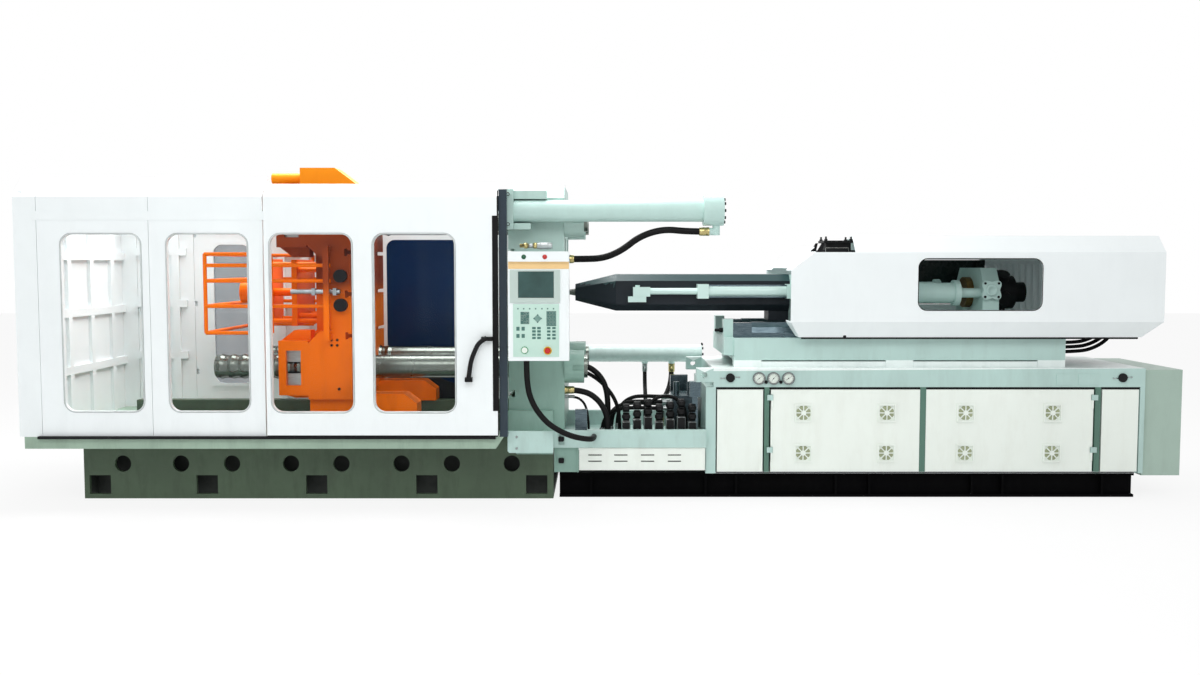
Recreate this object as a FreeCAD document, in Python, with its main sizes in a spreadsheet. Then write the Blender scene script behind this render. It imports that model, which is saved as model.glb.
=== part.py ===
import FreeCAD, Part
import math
import os
import Sketcher

os.makedirs("parts", exist_ok=True)
doc = FreeCAD.newDocument("MouldingMachine")
sheet = doc.addObject("Spreadsheet::Sheet", "Sizes")
nodes = []
row_count = 0

# X runs along the machine, from the clamp (minus) to the injection end (plus).
# The operator stands on the minus Y side. The floor is Z = 0. All sizes are in mm.


class Term:
    """A number together with the sheet formula it comes from."""

    def __init__(self, value, text):
        self.value = float(value)
        self.text = text

    def __add__(self, other):
        other = term(other)
        return Term(self.value + other.value, f"({self.text} + {other.text})")

    def __sub__(self, other):
        other = term(other)
        return Term(self.value - other.value, f"({self.text} - {other.text})")

    def __rsub__(self, other):
        return term(other) - self

    def __mul__(self, other):
        other = term(other)
        return Term(self.value * other.value, f"({self.text} * {other.text})")

    def __truediv__(self, other):
        other = term(other)
        return Term(self.value / other.value, f"({self.text} / {other.text})")

    def __neg__(self):
        return Term(-self.value, f"(0 - {self.text})")

    __radd__ = __add__
    __rmul__ = __mul__


def term(amount):
    if isinstance(amount, Term):
        return amount
    return Term(amount, repr(float(amount)))


def cell(alias, value):
    """Writes one size into the sheet and returns it as a term."""
    global row_count
    row_count += 1
    sheet.set(f"A{row_count}", alias)
    sheet.set(f"B{row_count}", repr(value))
    sheet.setAlias(f"B{row_count}", alias)
    return Term(value, f"Sizes.{alias}")


class Sizes:
    """A named group of sizes; a list of numbers becomes a list of terms."""

    def __init__(self, group, **values):
        for name, value in values.items():
            alias = f"{group}_{name}"
            if isinstance(value, (list, tuple)):
                terms = [cell(f"{alias}_{number}", each) for number, each in enumerate(value, 1)]
                setattr(self, name, terms)
            else:
                setattr(self, name, cell(alias, value))


def bind(thing, prop, amount):
    thing.setExpression(prop, term(amount).text)


def move(thing, x=None, y=None, z=None):
    for axis, amount in (("x", x), ("y", y), ("z", z)):
        if amount is not None:
            bind(thing, "Placement.Base." + axis, amount)
    return thing


def block(x, y, z):
    """A box between the given low and high bounds on each axis."""
    piece = doc.addObject("Part::Box", "Block")
    for prop, axis, (low, high) in (("Length", "x", x), ("Width", "y", y), ("Height", "z", z)):
        bind(piece, prop, term(high) - low)
        bind(piece, "Placement.Base." + axis, low)
    return piece


turns = {
    "x": FreeCAD.Rotation(FreeCAD.Vector(0, 1, 0), 90),
    "y": FreeCAD.Rotation(FreeCAD.Vector(1, 0, 0), -90),
    "z": FreeCAD.Rotation(),
}


def along(piece, axis, centre, start):
    """Stands a round piece on the given axis; centre is the pair of the other two coordinates."""
    piece.Placement = FreeCAD.Placement(FreeCAD.Vector(), turns[axis])
    if axis == "x":
        return move(piece, start, centre[0], centre[1])
    if axis == "y":
        return move(piece, centre[0], start, centre[1])
    return move(piece, centre[0], centre[1], start)


def rod(axis, centre, span, diameter):
    piece = doc.addObject("Part::Cylinder", "Rod")
    bind(piece, "Radius", term(diameter) / 2)
    bind(piece, "Height", term(span[1]) - span[0])
    return along(piece, axis, centre, span[0])


def cone(axis, centre, span, diameters):
    piece = doc.addObject("Part::Cone", "Cone")
    bind(piece, "Radius1", term(diameters[0]) / 2)
    bind(piece, "Radius2", term(diameters[1]) / 2)
    bind(piece, "Height", term(span[1]) - span[0])
    return along(piece, axis, centre, span[0])


def outline(body, role, points):
    """A closed sketch whose corners are held to the sheet by their two coordinates."""
    sketch = body.newObject("Sketcher::SketchObject", "Outline")
    plane = [each for each in body.Origin.OriginFeatures if each.Role == role][0]
    sketch.AttachmentSupport = [(plane, "")]
    sketch.MapMode = "FlatFace"
    corners = [(term(across), term(up)) for across, up in points]
    count = len(corners)
    lines = []
    for number in range(count):
        first = corners[number]
        second = corners[(number + 1) % count]
        start = FreeCAD.Vector(first[0].value, first[1].value, 0)
        end = FreeCAD.Vector(second[0].value, second[1].value, 0)
        lines.append(Part.LineSegment(start, end))
    sketch.addGeometry(lines, False)
    ties = []
    for number in range(count):
        ties.append(Sketcher.Constraint("Coincident", number, 2, (number + 1) % count, 1))
    for number, (across, up) in enumerate(corners):
        ties.append(Sketcher.Constraint("DistanceX", -1, 1, number, 1, across.value))
        ties.append(Sketcher.Constraint("DistanceY", -1, 1, number, 1, up.value))
    sketch.addConstraint(ties)
    for number, (across, up) in enumerate(corners):
        sketch.setExpression(f"Constraints[{count + 2 * number}]", across.text)
        sketch.setExpression(f"Constraints[{count + 2 * number + 1}]", up.text)
    return sketch


def prism(axis, points, span):
    """A pad of the outline along the axis, between the low and high bounds of span."""
    body = doc.addObject("PartDesign::Body", "Prism")
    role = {"x": "YZ_Plane", "y": "XZ_Plane", "z": "XY_Plane"}[axis]
    sketch = outline(body, role, points)
    start = -term(span[1]) if axis == "y" else term(span[0])
    sketch.setExpression(".AttachmentOffset.Base.z", start.text)
    pad = body.newObject("PartDesign::Pad", "Pad")
    pad.Profile = sketch
    bind(pad, "Length", term(span[1]) - span[0])
    return body


def turned(axis, centre, points):
    """A revolved solid: points are pairs of place along the axis and radius."""
    body = doc.addObject("PartDesign::Body", "Turned")
    sketch = outline(body, "XY_Plane", points)
    spin = body.newObject("PartDesign::Revolution", "Revolution")
    spin.Profile = sketch
    spin.ReferenceAxis = (sketch, ["H_Axis"])
    if axis == "y":
        body.Placement.Rotation = FreeCAD.Rotation(FreeCAD.Vector(0, 0, 1), 90)
        return move(body, centre[0], 0, centre[1])
    if axis == "z":
        body.Placement.Rotation = FreeCAD.Rotation(FreeCAD.Vector(0, 1, 0), -90)
        return move(body, centre[0], centre[1], 0)
    return move(body, 0, centre[0], centre[1])


def fuse(*pieces):
    joined = doc.addObject("Part::MultiFuse", "Fuse")
    joined.Shapes = list(pieces)
    joined.Refine = True
    return joined


def group(*pieces):
    """Separate solids kept side by side."""
    together = doc.addObject("Part::Compound", "Group")
    together.Links = list(pieces)
    return together


def cut(base, *tools):
    result = doc.addObject("Part::Cut", "Cut")
    result.Base = base
    result.Tool = tools[0] if len(tools) == 1 else group(*tools)
    return result


def mirrored(piece, axis="y"):
    """The same piece on the other side of the machine's middle plane."""
    copy = doc.addObject("Part::Mirroring", "Mirrored")
    copy.Source = piece
    copy.Normal = FreeCAD.Vector(*(1.0 if each == axis else 0.0 for each in "xyz"))
    return copy


def edges_along(shape, axis):
    found = []
    for number, edge in enumerate(shape.Edges, 1):
        run = edge.Vertexes[-1].Point - edge.Vertexes[0].Point
        if abs(getattr(run, axis)) > 0.999 * run.Length > 0:
            found.append(number)
    return found


def rounded(piece, axis, radius):
    """Rounds all edges of a piece that run along the axis."""
    doc.recompute([piece])
    soft = doc.addObject("Part::Fillet", "Rounded")
    soft.Base = piece
    amount = term(radius).value
    soft.Edges = [(number, amount, amount) for number in edges_along(piece.Shape, axis)]
    return soft


def pane_hole(x, z, y, radius):
    """A round-cornered window opening through a panel."""
    return rounded(block(x, y, z), "y", radius)


def tube(name, points, diameter):
    """Straight runs joined by tangent arcs through the route points; prints the radii."""
    route = []
    for number, point in enumerate(points, 1):
        terms = [cell(f"{name}_{axis}{axis}_{number}", each) for axis, each in zip("xyz", point)]
        route.append(FreeCAD.Vector(*(each.value for each in terms)))
    bore = cell(f"{name}_diameter", diameter)
    edges = []
    radii = []
    length = 0.0
    last = route[0]
    for before, corner, after in zip(route, route[1:], route[2:]):
        into = before - corner
        out = after - corner
        run = min(into.Length, out.Length)
        half_turn = (math.pi - into.getAngle(out)) / 2
        radius = 0.45 * run / math.tan(half_turn)
        setback = 0.45 * run
        start = corner + into.normalize() * setback
        end = corner + out.normalize() * setback
        centre_way = (into + out).normalize()
        centre = corner + centre_way * (radius / math.cos(half_turn))
        middle = centre - centre_way * radius
        edges.append(Part.LineSegment(last, start).toShape())
        edges.append(Part.Arc(start, middle, end).toShape())
        radii.append(radius)
        last = end
    edges.append(Part.LineSegment(last, route[-1]).toShape())
    length = sum(edge.Length for edge in edges)
    path = Part.Wire(edges)
    heading = (route[1] - route[0]).normalize()
    ring = Part.Wire([Part.Circle(route[0], heading, bore.value / 2).toShape()])
    solid = path.makePipeShell([ring], True, False)
    expected = math.pi * bore.value ** 2 / 4 * length
    share = solid.Volume / expected
    tightest = min(radii) / bore.value
    print(f"{name}: {length:.0f} mm, tightest {tightest:.1f} diameters, volume {share:.3f}")
    piece = doc.addObject("Part::Feature", "Tube")
    piece.Shape = solid
    piece.Placement = FreeCAD.Placement()
    return piece


def node(name, piece):
    piece.Label = name
    nodes.append(piece)
    return piece


# Shared lines and clearances. The machine axis is the screw's axis, at Y = 0.
axis = Sizes("axis", z=1476, tie_y=450, tie_low=949, tie_high=2003, tie=165)
fit = Sizes("fit", running=0.05, free=1.0, slide=0.3, over=10)
over = fit.over
whole_length = 8225
left_end = -4095
whole = Sizes("whole", length=whole_length, left=left_end)
whole_right = whole.left + whole.length
tie_places = [(side, level) for side in (-axis.tie_y, axis.tie_y) for level in (axis.tie_low, axis.tie_high)]


def both(low, high):
    """The bounds of a strip on the operator side and of its twin on the far side."""
    return (-term(high), -term(low)), (term(low), term(high))


# Clamp bed: two box girders with slideways on top, joined by end plates and cross ribs.
bed = Sizes("bed", left=-3796, right=-411, half=550, top=411, wall=30, skirt=494, web=365, way_in=400,
            way_out=500, way_top=600, way_end=-770, hole=118, hole_z=254, pocket=154, pocket_low=33,
            pocket_high=169, hole_x=[-3514, -3096, -2728, -2303, -1939, -1506, -1143, -711],
            pocket_x=[-3682, -2910, -2120, -1325, -532], rib_x=[-3240, -2500, -1730, -960])
girders = []
for wall_y, web_y, top_y, way_y, cut_y in zip(
        both(bed.half - bed.wall, bed.half), both(bed.web, bed.web + bed.wall), both(bed.web, bed.half),
        both(bed.way_in, bed.way_out), both(bed.half - bed.wall - over, bed.half + over)):
    girder = fuse(block((bed.left, bed.right), wall_y, (0, bed.skirt)),
                  block((bed.left, bed.right), web_y, (0, bed.top)),
                  block((bed.left, bed.right), top_y, (bed.top - bed.wall, bed.top)),
                  block((bed.left, bed.left + bed.wall), top_y, (0, bed.top)),
                  block((bed.right - bed.wall, bed.right), top_y, (0, bed.top)),
                  block((bed.left, bed.way_end), way_y, (bed.top, bed.way_top)))
    bed_cutters = [rod("y", (place, bed.hole_z), cut_y, bed.hole) for place in bed.hole_x]
    for place in bed.pocket_x:
        half_pocket = bed.pocket / 2
        pocket_x = (place - half_pocket, place + half_pocket)
        bed_cutters.append(block(pocket_x, cut_y, (bed.pocket_low, bed.pocket_high)))
    girders.append(cut(girder, *bed_cutters))
cross_y = (-bed.web, bed.web)
cross_places = [bed.left, *bed.rib_x, bed.right - bed.wall]
cross_plates = [block((place, place + bed.wall), cross_y, (0, bed.top)) for place in cross_places]
node("clamp_bed", group(*girders, *cross_plates))

# Ledge round the bed that carries the guards, open underneath, with a peaked drop sheet behind the mould.
guard = Sizes("guard", outer=850, thick=30, base=494, bevel=2151, top=2291, top_y=710, knee=0.414,
              slant=1.414, corner_wide=160, middle=-3168, right=-2388, seam=3,
              low=674, high=1891, round=70)
guard_corner = whole.left + guard.corner_wide
ledge = Sizes("ledge", left=-4063, right=-797, toe=-742, low=411, sheet=8, drop_y=630, drop_x=[-1858, -1618,
              -1500, -1180], drop_z=[679, 789])
ledge_shape = [(ledge.left, ledge.low), (ledge.right, ledge.low), (ledge.toe, guard.base),
               (ledge.left, guard.base)]
under = (ledge.low - over, guard.base - ledge.sheet)
ledge_front = cut(prism("y", ledge_shape, (-guard.outer, -bed.half)),
                  block((ledge.left + ledge.sheet, ledge.right - ledge.sheet),
                        (ledge.sheet - guard.outer, -bed.half - ledge.sheet), under))
ledge_left = cut(block((ledge.left, bed.left), (-bed.half, bed.half), (ledge.low, guard.base)),
                 block((ledge.left + ledge.sheet, bed.left - ledge.sheet),
                       (ledge.sheet - bed.half, bed.half - ledge.sheet), under))
drop_shape = [(ledge.drop_x[0], guard.base), (ledge.drop_x[3], guard.base), (ledge.drop_x[3], ledge.drop_z[0]),
              (ledge.drop_x[2], ledge.drop_z[1]), (ledge.drop_x[1], ledge.drop_z[1]),
              (ledge.drop_x[0], ledge.drop_z[0])]
drop_sheet = prism("y", drop_shape, (ledge.drop_y, ledge.drop_y + ledge.sheet))
node("guard_ledge", group(ledge_front, mirrored(ledge_front), ledge_left, drop_sheet))


def panel_shape(side):
    """The bent section of a fixed guard panel: upright, then a bevel at half a right angle."""
    points = [(guard.outer, guard.base), (guard.outer, guard.bevel), (guard.top_y, guard.top),
              (guard.top_y - guard.thick * guard.slant, guard.top),
              (guard.outer - guard.thick, guard.bevel - guard.thick * guard.knee),
              (guard.outer - guard.thick, guard.base)]
    return [(across if side > 0 else -across, up) for across, up in points]


through_front, through_rear = both(guard.outer - guard.thick - over, guard.outer + over)

# Fixed front guard panels, each with one round-cornered window.
window = Sizes("window", first=[-3771, -3230], second=[-3045, -2498], third=[-2327, -1772],
               fourth=[-1622, -1071])
window_z = (guard.low, guard.high)
panel_one = cut(prism("x", panel_shape(-1), (guard_corner, guard.middle - guard.seam)),
                pane_hole(window.first, window_z, through_front, guard.round))
panel_two = cut(prism("x", panel_shape(-1), (guard.middle, guard.right)),
                pane_hole(window.second, window_z, through_front, guard.round))
node("front_guard_panels", group(panel_one, panel_two))

# End guard: two bent corner panels and the ribbed end sheet between them.
rail = Sizes("rail", depth=25, wide=60, upright_y=[-560, -190, 180, 550], level_z=[860, 1290, 1720, 2130])
inner = guard.outer - guard.thick
inner_bevel = guard.bevel - guard.thick * guard.knee
inner_top = guard.top_y - guard.thick * guard.slant
end_shape = [(-inner, guard.base), (-inner, inner_bevel), (-inner_top, guard.top), (inner_top, guard.top),
             (inner, inner_bevel), (inner, guard.base)]
end_sheet = prism("x", end_shape, (whole.left, whole.left + guard.thick))
end_ribs = []
rib_x = (whole.left + guard.thick, whole.left + guard.thick + rail.depth)
for place in rail.upright_y:
    end_ribs.append(block(rib_x, (place, place + rail.wide), (guard.base, inner_bevel)))
for level in rail.level_z:
    end_ribs.append(block(rib_x, (-inner, inner), (level, level + rail.wide)))
corners = [prism("x", panel_shape(side), (whole.left, guard_corner - guard.seam)) for side in (-1, 1)]
node("end_guard", group(fuse(end_sheet, *end_ribs), *corners))

# Rear guard panel with the opening of the hinged service door, and ribs on its inner face.
service = Sizes("service", left=-3460, right=-2850, low=560, high=1985, gap=3, window=[-3296, -2990],
                window_low=692, window_high=1850, pane=8, hinge=22, hinge_out=7, hinge_long=70, knuckle=40, tab=40, tab_gap=0.5,
                hinge_z=[700, 1270, 1840], gasket=12)
rear_body = prism("x", panel_shape(1), (guard_corner, guard.right))
rear_opening = block((service.left - service.gap, service.right + service.gap), through_rear,
                     (service.low - service.gap, service.high + service.gap))
rear_rib = Sizes("rear_rib", x=[-3830, -3640, -2760, -2560], z=[900, 1330, 1760])
rear_ribs = []
for place in rear_rib.x:
    rear_ribs.append(block((place, place + rail.wide), (inner - rail.depth, inner), (guard.base, inner_bevel)))
for level in rear_rib.z:
    for span in ((guard_corner, service.left - rail.wide), (service.right + rail.wide, guard.right)):
        rear_ribs.append(block(span, (inner - rail.depth, inner), (level, level + rail.wide)))
knuckles = []
hinge_place = (service.left + service.hinge / 2, guard.outer + service.hinge_out)
for level in service.hinge_z:
    knuckle_z = (level + service.hinge_long + fit.slide, level + service.hinge_long + service.knuckle)
    tab_y = (guard.outer + service.tab_gap, guard.outer + service.hinge_out + service.hinge / 2)
    knuckles.append(rod("z", hinge_place, knuckle_z, service.hinge))
    knuckles.append(block((service.left - service.tab, hinge_place[0]), tab_y, knuckle_z))
    knuckles.append(block((service.left - service.tab, service.left - service.hinge / 2),
                          (guard.outer, tab_y[0]), knuckle_z))
node("rear_guard_panels", fuse(cut(rear_body, rear_opening), *rear_ribs, *knuckles))

# Clear panes of the two fixed front windows, set flush with the inner faces.
pane = Sizes("pane", thick=6, lap=25)


def pane_sheet(span, levels, y):
    """A flat pane that covers a window and laps its rim."""
    return block((span[0] - pane.lap, span[1] + pane.lap), y, (levels[0] - pane.lap, levels[1] + pane.lap))


fixed_pane_y = (-inner, pane.thick - inner)
node("guard_panes", group(pane_sheet(window.first, window_z, fixed_pane_y),
                          pane_sheet(window.second, window_z, fixed_pane_y)))

# Sliding doors front and rear: the same bent section, running outside the fixed panels.
door = Sizes("door", left=-2368, right=-773, outer=890, inner=856, low=509, bevel=2149, top=2239, top_y=800,
             lip_y=771.7, lip=2154.7, rear=[-1862, -1046], track=4.5, track_low=1990, track_high=2050,
             rail_out=880, rail_low=482, rail_high=500, rail_left=-3960, pad=[-2300, -860], pad_wide=60)


def door_shape(side):
    points = [(door.outer, door.low), (door.outer, door.bevel), (door.top_y, door.top), (door.lip_y, door.top),
              (door.inner, door.lip), (door.inner, door.low)]
    return [(across if side > 0 else -across, up) for across, up in points]


door_front_y, door_rear_y = both(door.inner - over, door.outer + over)
door_sheet = cut(prism("x", door_shape(-1), (door.left, door.right)),
                 pane_hole(window.third, window_z, door_front_y, guard.round),
                 pane_hole(window.fourth, window_z, door_front_y, guard.round))
shoes = []
for place in door.pad:
    shoes.append(block((place, place + door.pad_wide), (-door.outer + pane.thick, -door.inner - pane.thick),
                       (door.rail_high + fit.slide, door.low)))
node("front_door", fuse(door_sheet, *shoes))
door_pane_y = (-door.inner - pane.thick, -door.inner)
pane_three = pane_hole(window.third, window_z, door_pane_y, guard.round)
pane_four = pane_hole(window.fourth, window_z, door_pane_y, guard.round)
node("front_door_panes", group(pane_three, pane_four))
rear_sheet = cut(prism("x", door_shape(1), (door.left, door.right)),
                 pane_hole(door.rear, window_z, door_rear_y, guard.round))
rear_shoes = []
for place in door.pad:
    rear_shoes.append(block((place, place + door.pad_wide), (door.inner + pane.thick, door.outer - pane.thick),
                            (door.rail_high + fit.slide, door.low)))
node("rear_door", fuse(rear_sheet, *rear_shoes))
node("rear_door_panes", pane_hole(door.rear, window_z, (door.inner, door.inner + pane.thick), guard.round))

# Door rails: a thin upper track on the fixed panels and a lower rail along the ledge, on both sides.
rails = []
for upper_y, lower_y in zip(both(guard.outer, guard.outer + door.track), both(guard.outer, door.rail_out)):
    rails.append(block((door.rail_left, door.right), upper_y, (door.track_low, door.track_high)))
    rails.append(block((door.rail_left, ledge.right), lower_y, (door.rail_low, door.rail_high)))
node("door_rails", group(*rails))

# Service door in the rear panel, with its gasket frame, pane and three hinge barrels.
service_y = (inner, guard.outer)
service_window_z = (service.window_low, service.window_high)
service_leaf = cut(block((service.left, service.right), service_y, (service.low, service.high)),
                   pane_hole(service.window, service_window_z, through_rear, guard.round),
                   *(block((service.left - over, service.left + service.hinge + fit.free), through_rear,
                           (level + service.hinge_long, level + service.hinge_long + service.knuckle + fit.free))
                     for level in service.hinge_z))
gasket_y = (inner - service.gasket, inner)
gasket_span = (service.window[0] - pane.lap, service.window[1] + pane.lap)
gasket_levels = (service.window_low - pane.lap, service.window_high + pane.lap)
gasket = cut(block(gasket_span, gasket_y, gasket_levels),
             pane_hole(service.window, service_window_z, (inner - service.gasket - over, inner + over),
                       guard.round))
hinges = []
for level in service.hinge_z:
    hinges.append(rod("z", (service.left + service.hinge / 2, guard.outer + service.hinge_out),
                      (level, level + service.hinge_long), service.hinge))
node("service_door", fuse(service_leaf, gasket, *hinges))
node("service_pane", pane_hole(service.window, service_window_z, (inner, inner + service.pane), guard.round))

# Door handle: a bent pull standing off the door on two brackets.
handle = Sizes("handle", stand=24, bracket=[-886, -811], bracket_z=[1165, 1193], foot=[-1000, -950],
               foot_z=[884, 914], back=930)
handle_tube = tube("pull", [(-848, -932, 1188), (-905, -932, 1150), (-955, -932, 1040), (-976, -932, 890)], 32)
handle_brackets = []
for span, levels in ((handle.bracket, handle.bracket_z), (handle.foot, handle.foot_z)):
    handle_brackets.append(block(span, (-handle.back, -door.outer), levels))
node("front_door_handle", fuse(handle_tube, *handle_brackets))

# Fixed platen: bored for the tie bars and the nozzle, seated on the bed, with brackets for the upper
# front and lower rear stroke cylinders and a bolted foot on the operator side.
fixed = Sizes("fixed", left=-730, right=-330, half=540, low=500, top=2250, chamfer=90, seat_right=-411,
              bore=[200, 430], bore_neck=-560, slot_z=[760, 1180, 1476, 1772, 2190], slot=28, slot_wide=50,
              slot_deep=22, core_y=[150, 400], core_z=[1090, 1330, 1640, 1880], core_deep=210)
stroke = Sizes("stroke", y=660, high=2060, low=955, bore=110, outside=150, low_outside=140, rod=60,
               upper=[-677, 647], lower=[-284, 612], cap=30, floor=20, head=205, head_upper=789, head_lower=760,
               head_round=140, elbow=52, elbow_x=740, elbow_z=[1891, 1966], hose_z=1917,
                hose_x=690, ports=[294, 515], port_z=[872, 897])
bracket = Sizes("bracket", foot_x=[-731, -411], foot_z=[328, 492], foot_y=[550, 590], foot_slope=60,
                foot_join=640, plate_x=[-748, -677], plate_z=[1931, 2207], plate_y=[540, 745],
                arm_right=-450, arm_z=[2143, 2200], arm_y=[590, 690], post_z=[1931, 1975], post_right=-560,
                beam_z=[1890, 1925], beam_y=[590, 640], lug_y=[575, 745], lug_x=[-420, -284],
                lug_z=[823, 1044], web_x=[-500, -470], bolt=34, bolt_out=16)
platen_shape = [(-fixed.half, fixed.low), (fixed.half, fixed.low), (fixed.half, fixed.top - fixed.chamfer),
                (fixed.half - fixed.chamfer, fixed.top), (fixed.chamfer - fixed.half, fixed.top),
                (-fixed.half, fixed.top - fixed.chamfer)]
platen_x = (fixed.left, fixed.right)
seat_front, seat_rear = both(bed.web, bed.half - bed.wall)
fixed_pieces = [prism("x", platen_shape, platen_x),
                block((fixed.left, fixed.seat_right), seat_front, (bed.top, fixed.low)),
                block((fixed.left, fixed.seat_right), seat_rear, (bed.top, fixed.low))]
fixed_cutters = [rod("x", place, (fixed.left - over, fixed.right + over), axis.tie) for place in tie_places]
fixed_cutters.append(cone("x", (0, axis.z), (fixed.bore_neck, fixed.right), fixed.bore))
fixed_cutters.append(rod("x", (0, axis.z), (fixed.left - over, fixed.bore_neck + over), fixed.bore[0]))
for level in fixed.slot_z:
    for side_span in ((-fixed.half - over, -fixed.bore[0]), (fixed.bore[0], fixed.half + over)):
        half_slot = fixed.slot / 2
        half_wide = fixed.slot_wide / 2
        slot_end = fixed.left + fixed.slot_deep
        fixed_cutters.append(block((fixed.left - over, slot_end), side_span,
                                   (level - half_slot, level + half_slot)))
        fixed_cutters.append(block((slot_end, slot_end + fixed.slot_deep), side_span,
                                   (level - half_wide, level + half_wide)))
core_x = (fixed.right - fixed.core_deep, fixed.right + over)
for core_low, core_high in ((fixed.core_z[0], fixed.core_z[1]), (fixed.core_z[2], fixed.core_z[3])):
    for side_span in both(fixed.core_y[0], fixed.core_y[1]):
        fixed_cutters.append(block(core_x, side_span, (core_low, core_high)))
foot_shape = [(bracket.foot_x[0] + bracket.foot_slope, bracket.foot_z[0]),
              (bracket.foot_x[1], bracket.foot_z[0]), (bracket.foot_x[1], bracket.foot_join),
              (bracket.foot_x[0], bracket.foot_join), (bracket.foot_x[0], bracket.foot_z[0] + bracket.foot_slope)]
foot_y = (-bracket.foot_y[1], -bracket.foot_y[0])
foot = prism("y", foot_shape, foot_y)
foot_link = block((fixed.left, bracket.foot_x[1]), (-bracket.foot_y[0], -fixed.half), (fixed.low, bracket.foot_join))
foot_bolts = []
for place in (bracket.foot_x[0] + bracket.foot_slope * 2, bracket.foot_x[1] - bracket.foot_slope):
    foot_bolts.append(rod("y", (place, bracket.foot_z[1]), (-bracket.foot_y[1] - bracket.bolt_out, foot_y[0]),
                          bracket.bolt))
front_y = (-bracket.plate_y[1], -bracket.plate_y[0])
front_plate = block(bracket.plate_x, front_y, bracket.plate_z)
arm = block((bracket.plate_x[1], bracket.arm_right), (-bracket.arm_y[1], -fixed.half), bracket.arm_z)
lower_arm = block((bracket.plate_x[1], bracket.post_right), (-bracket.arm_y[1], -fixed.half), bracket.post_z)
rear_lug = block(bracket.lug_x, bracket.lug_y, bracket.lug_z)
rear_link = block((bracket.lug_x[0], fixed.right), (fixed.half, bracket.lug_y[0]), bracket.lug_z)
plate_bolts = []
for level in bracket.plate_z:
    towards = bracket.bolt if level is bracket.plate_z[0] else -bracket.bolt
    plate_bolts.append(rod("y", (bracket.plate_x[0] + bracket.bolt, level + towards),
                           (front_y[0] - bracket.bolt_out, front_y[0]), bracket.bolt))
rod_clear = stroke.rod + fit.over
front_hole = rod("x", (-stroke.y, stroke.high), (bracket.plate_x[0] - over, bracket.plate_x[1] + over), rod_clear)
rear_hole = rod("x", (stroke.y, stroke.low), (bracket.lug_x[0] - over, bracket.lug_x[1] + over), rod_clear)
fixed_body = fuse(cut(fuse(*fixed_pieces), *fixed_cutters), foot, foot_link, *foot_bolts, front_plate, arm,
                  lower_arm, rear_lug, rear_link, *plate_bolts)
node("fixed_platen", cut(fixed_body, front_hole, rear_hole))

# Tie bars with ribbed clamp ends; each carries a large nut on the far face of the fixed platen.
ribs = Sizes("ribs", left=-2850, pitch=80, high=180, count=14, land=14, nut=240, nut_end=-190, bar_end=-165,
             notch=40, notch_deep=18)
rib_count = int(ribs.count.value)
bar_shape = [(ribs.left, 0), (ribs.left, axis.tie / 2)]
for number in range(rib_count):
    start = ribs.left + ribs.pitch * number
    bar_shape.append((start + ribs.land, axis.tie / 2))
    bar_shape.append((start + ribs.pitch / 2, ribs.high / 2))
    bar_shape.append((start + ribs.pitch - ribs.land, axis.tie / 2))
bar_shape.append((ribs.bar_end, axis.tie / 2))
bar_shape.append((ribs.bar_end, 0))
node("tie_bars", group(*(turned("x", place, bar_shape) for place in tie_places)))
nuts = []
for side, level in tie_places:
    nut_x = (fixed.right, ribs.nut_end)
    nut_body = rod("x", (side, level), nut_x, ribs.nut)
    nut_cutters = [rod("x", (side, level), (fixed.right - over, ribs.nut_end + over), axis.tie)]
    half_notch = ribs.notch / 2
    rim = ribs.nut / 2
    notch_x = (ribs.nut_end - ribs.notch * 2, ribs.nut_end + over)
    for low, high in ((rim - ribs.notch_deep, rim + over), (-rim - over, ribs.notch_deep - rim)):
        nut_cutters.append(block(notch_x, (side + low, side + high), (level - half_notch, level + half_notch)))
        nut_cutters.append(block(notch_x, (side - half_notch, side + half_notch), (level + low, level + high)))
    nuts.append(cut(nut_body, *nut_cutters))
node("tie_bar_nuts", group(*nuts))

# Door posts: an upright of the door frame at the fixed-platen side, front and rear, with a hanger bracket.
post = Sizes("post", x=[-769, -714], y=[790, 850], top=2199, wall=6, hanger_x=[-818, -769], hanger_z=[2060, 2155],
             hanger_y=[800, 840])
posts = []
for post_y, hollow_y, hanger_y in zip(both(post.y[0], post.y[1]), both(post.y[0] + post.wall, post.y[1] - post.wall),
                                      both(post.hanger_y[0], post.hanger_y[1])):
    shell = block(post.x, post_y, (guard.base, post.top))
    hollow = block((post.x[0] + post.wall, post.x[1] - post.wall), hollow_y, (guard.base - over, post.top + over))
    posts.append(fuse(cut(shell, hollow), block(post.hanger_x, hanger_y, post.hanger_z)))
node("door_posts", group(*posts))

# Stroke cylinders: hollow barrels with heads at the injection end, upper front and lower rear.
cylinders = []
for side, level, span, outside, head_end, head in (
        (-stroke.y, stroke.high, stroke.upper, stroke.outside, stroke.head_upper, stroke.head),
        (stroke.y, stroke.low, stroke.lower, stroke.low_outside, stroke.head_lower, stroke.head_round)):
    barrel = fuse(rod("x", (side, level), span, outside), rod("x", (side, level), (span[1], head_end), head))
    bore = rod("x", (side, level), (span[0] + stroke.cap, head_end - stroke.floor), stroke.bore)
    gland = rod("x", (side, level), (span[0] - over, span[0] + stroke.cap + over), stroke.rod + fit.slide * 2)
    if side.value < 0:
        elbow = rod("z", (stroke.elbow_x, side), (stroke.elbow_z[0], stroke.elbow_z[1]), stroke.elbow)
        ferrule = rod("x", (side, stroke.hose_z), (stroke.hose_x, stroke.elbow_x), stroke.elbow)
        barrel = fuse(barrel, elbow, ferrule)
    else:
        ports = [rod("z", (place, side), stroke.port_z, stroke.elbow) for place in stroke.ports]
        barrel = fuse(barrel, *ports)
    cylinders.append(cut(barrel, bore, gland))
node("stroke_cylinders", group(*cylinders))

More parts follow.
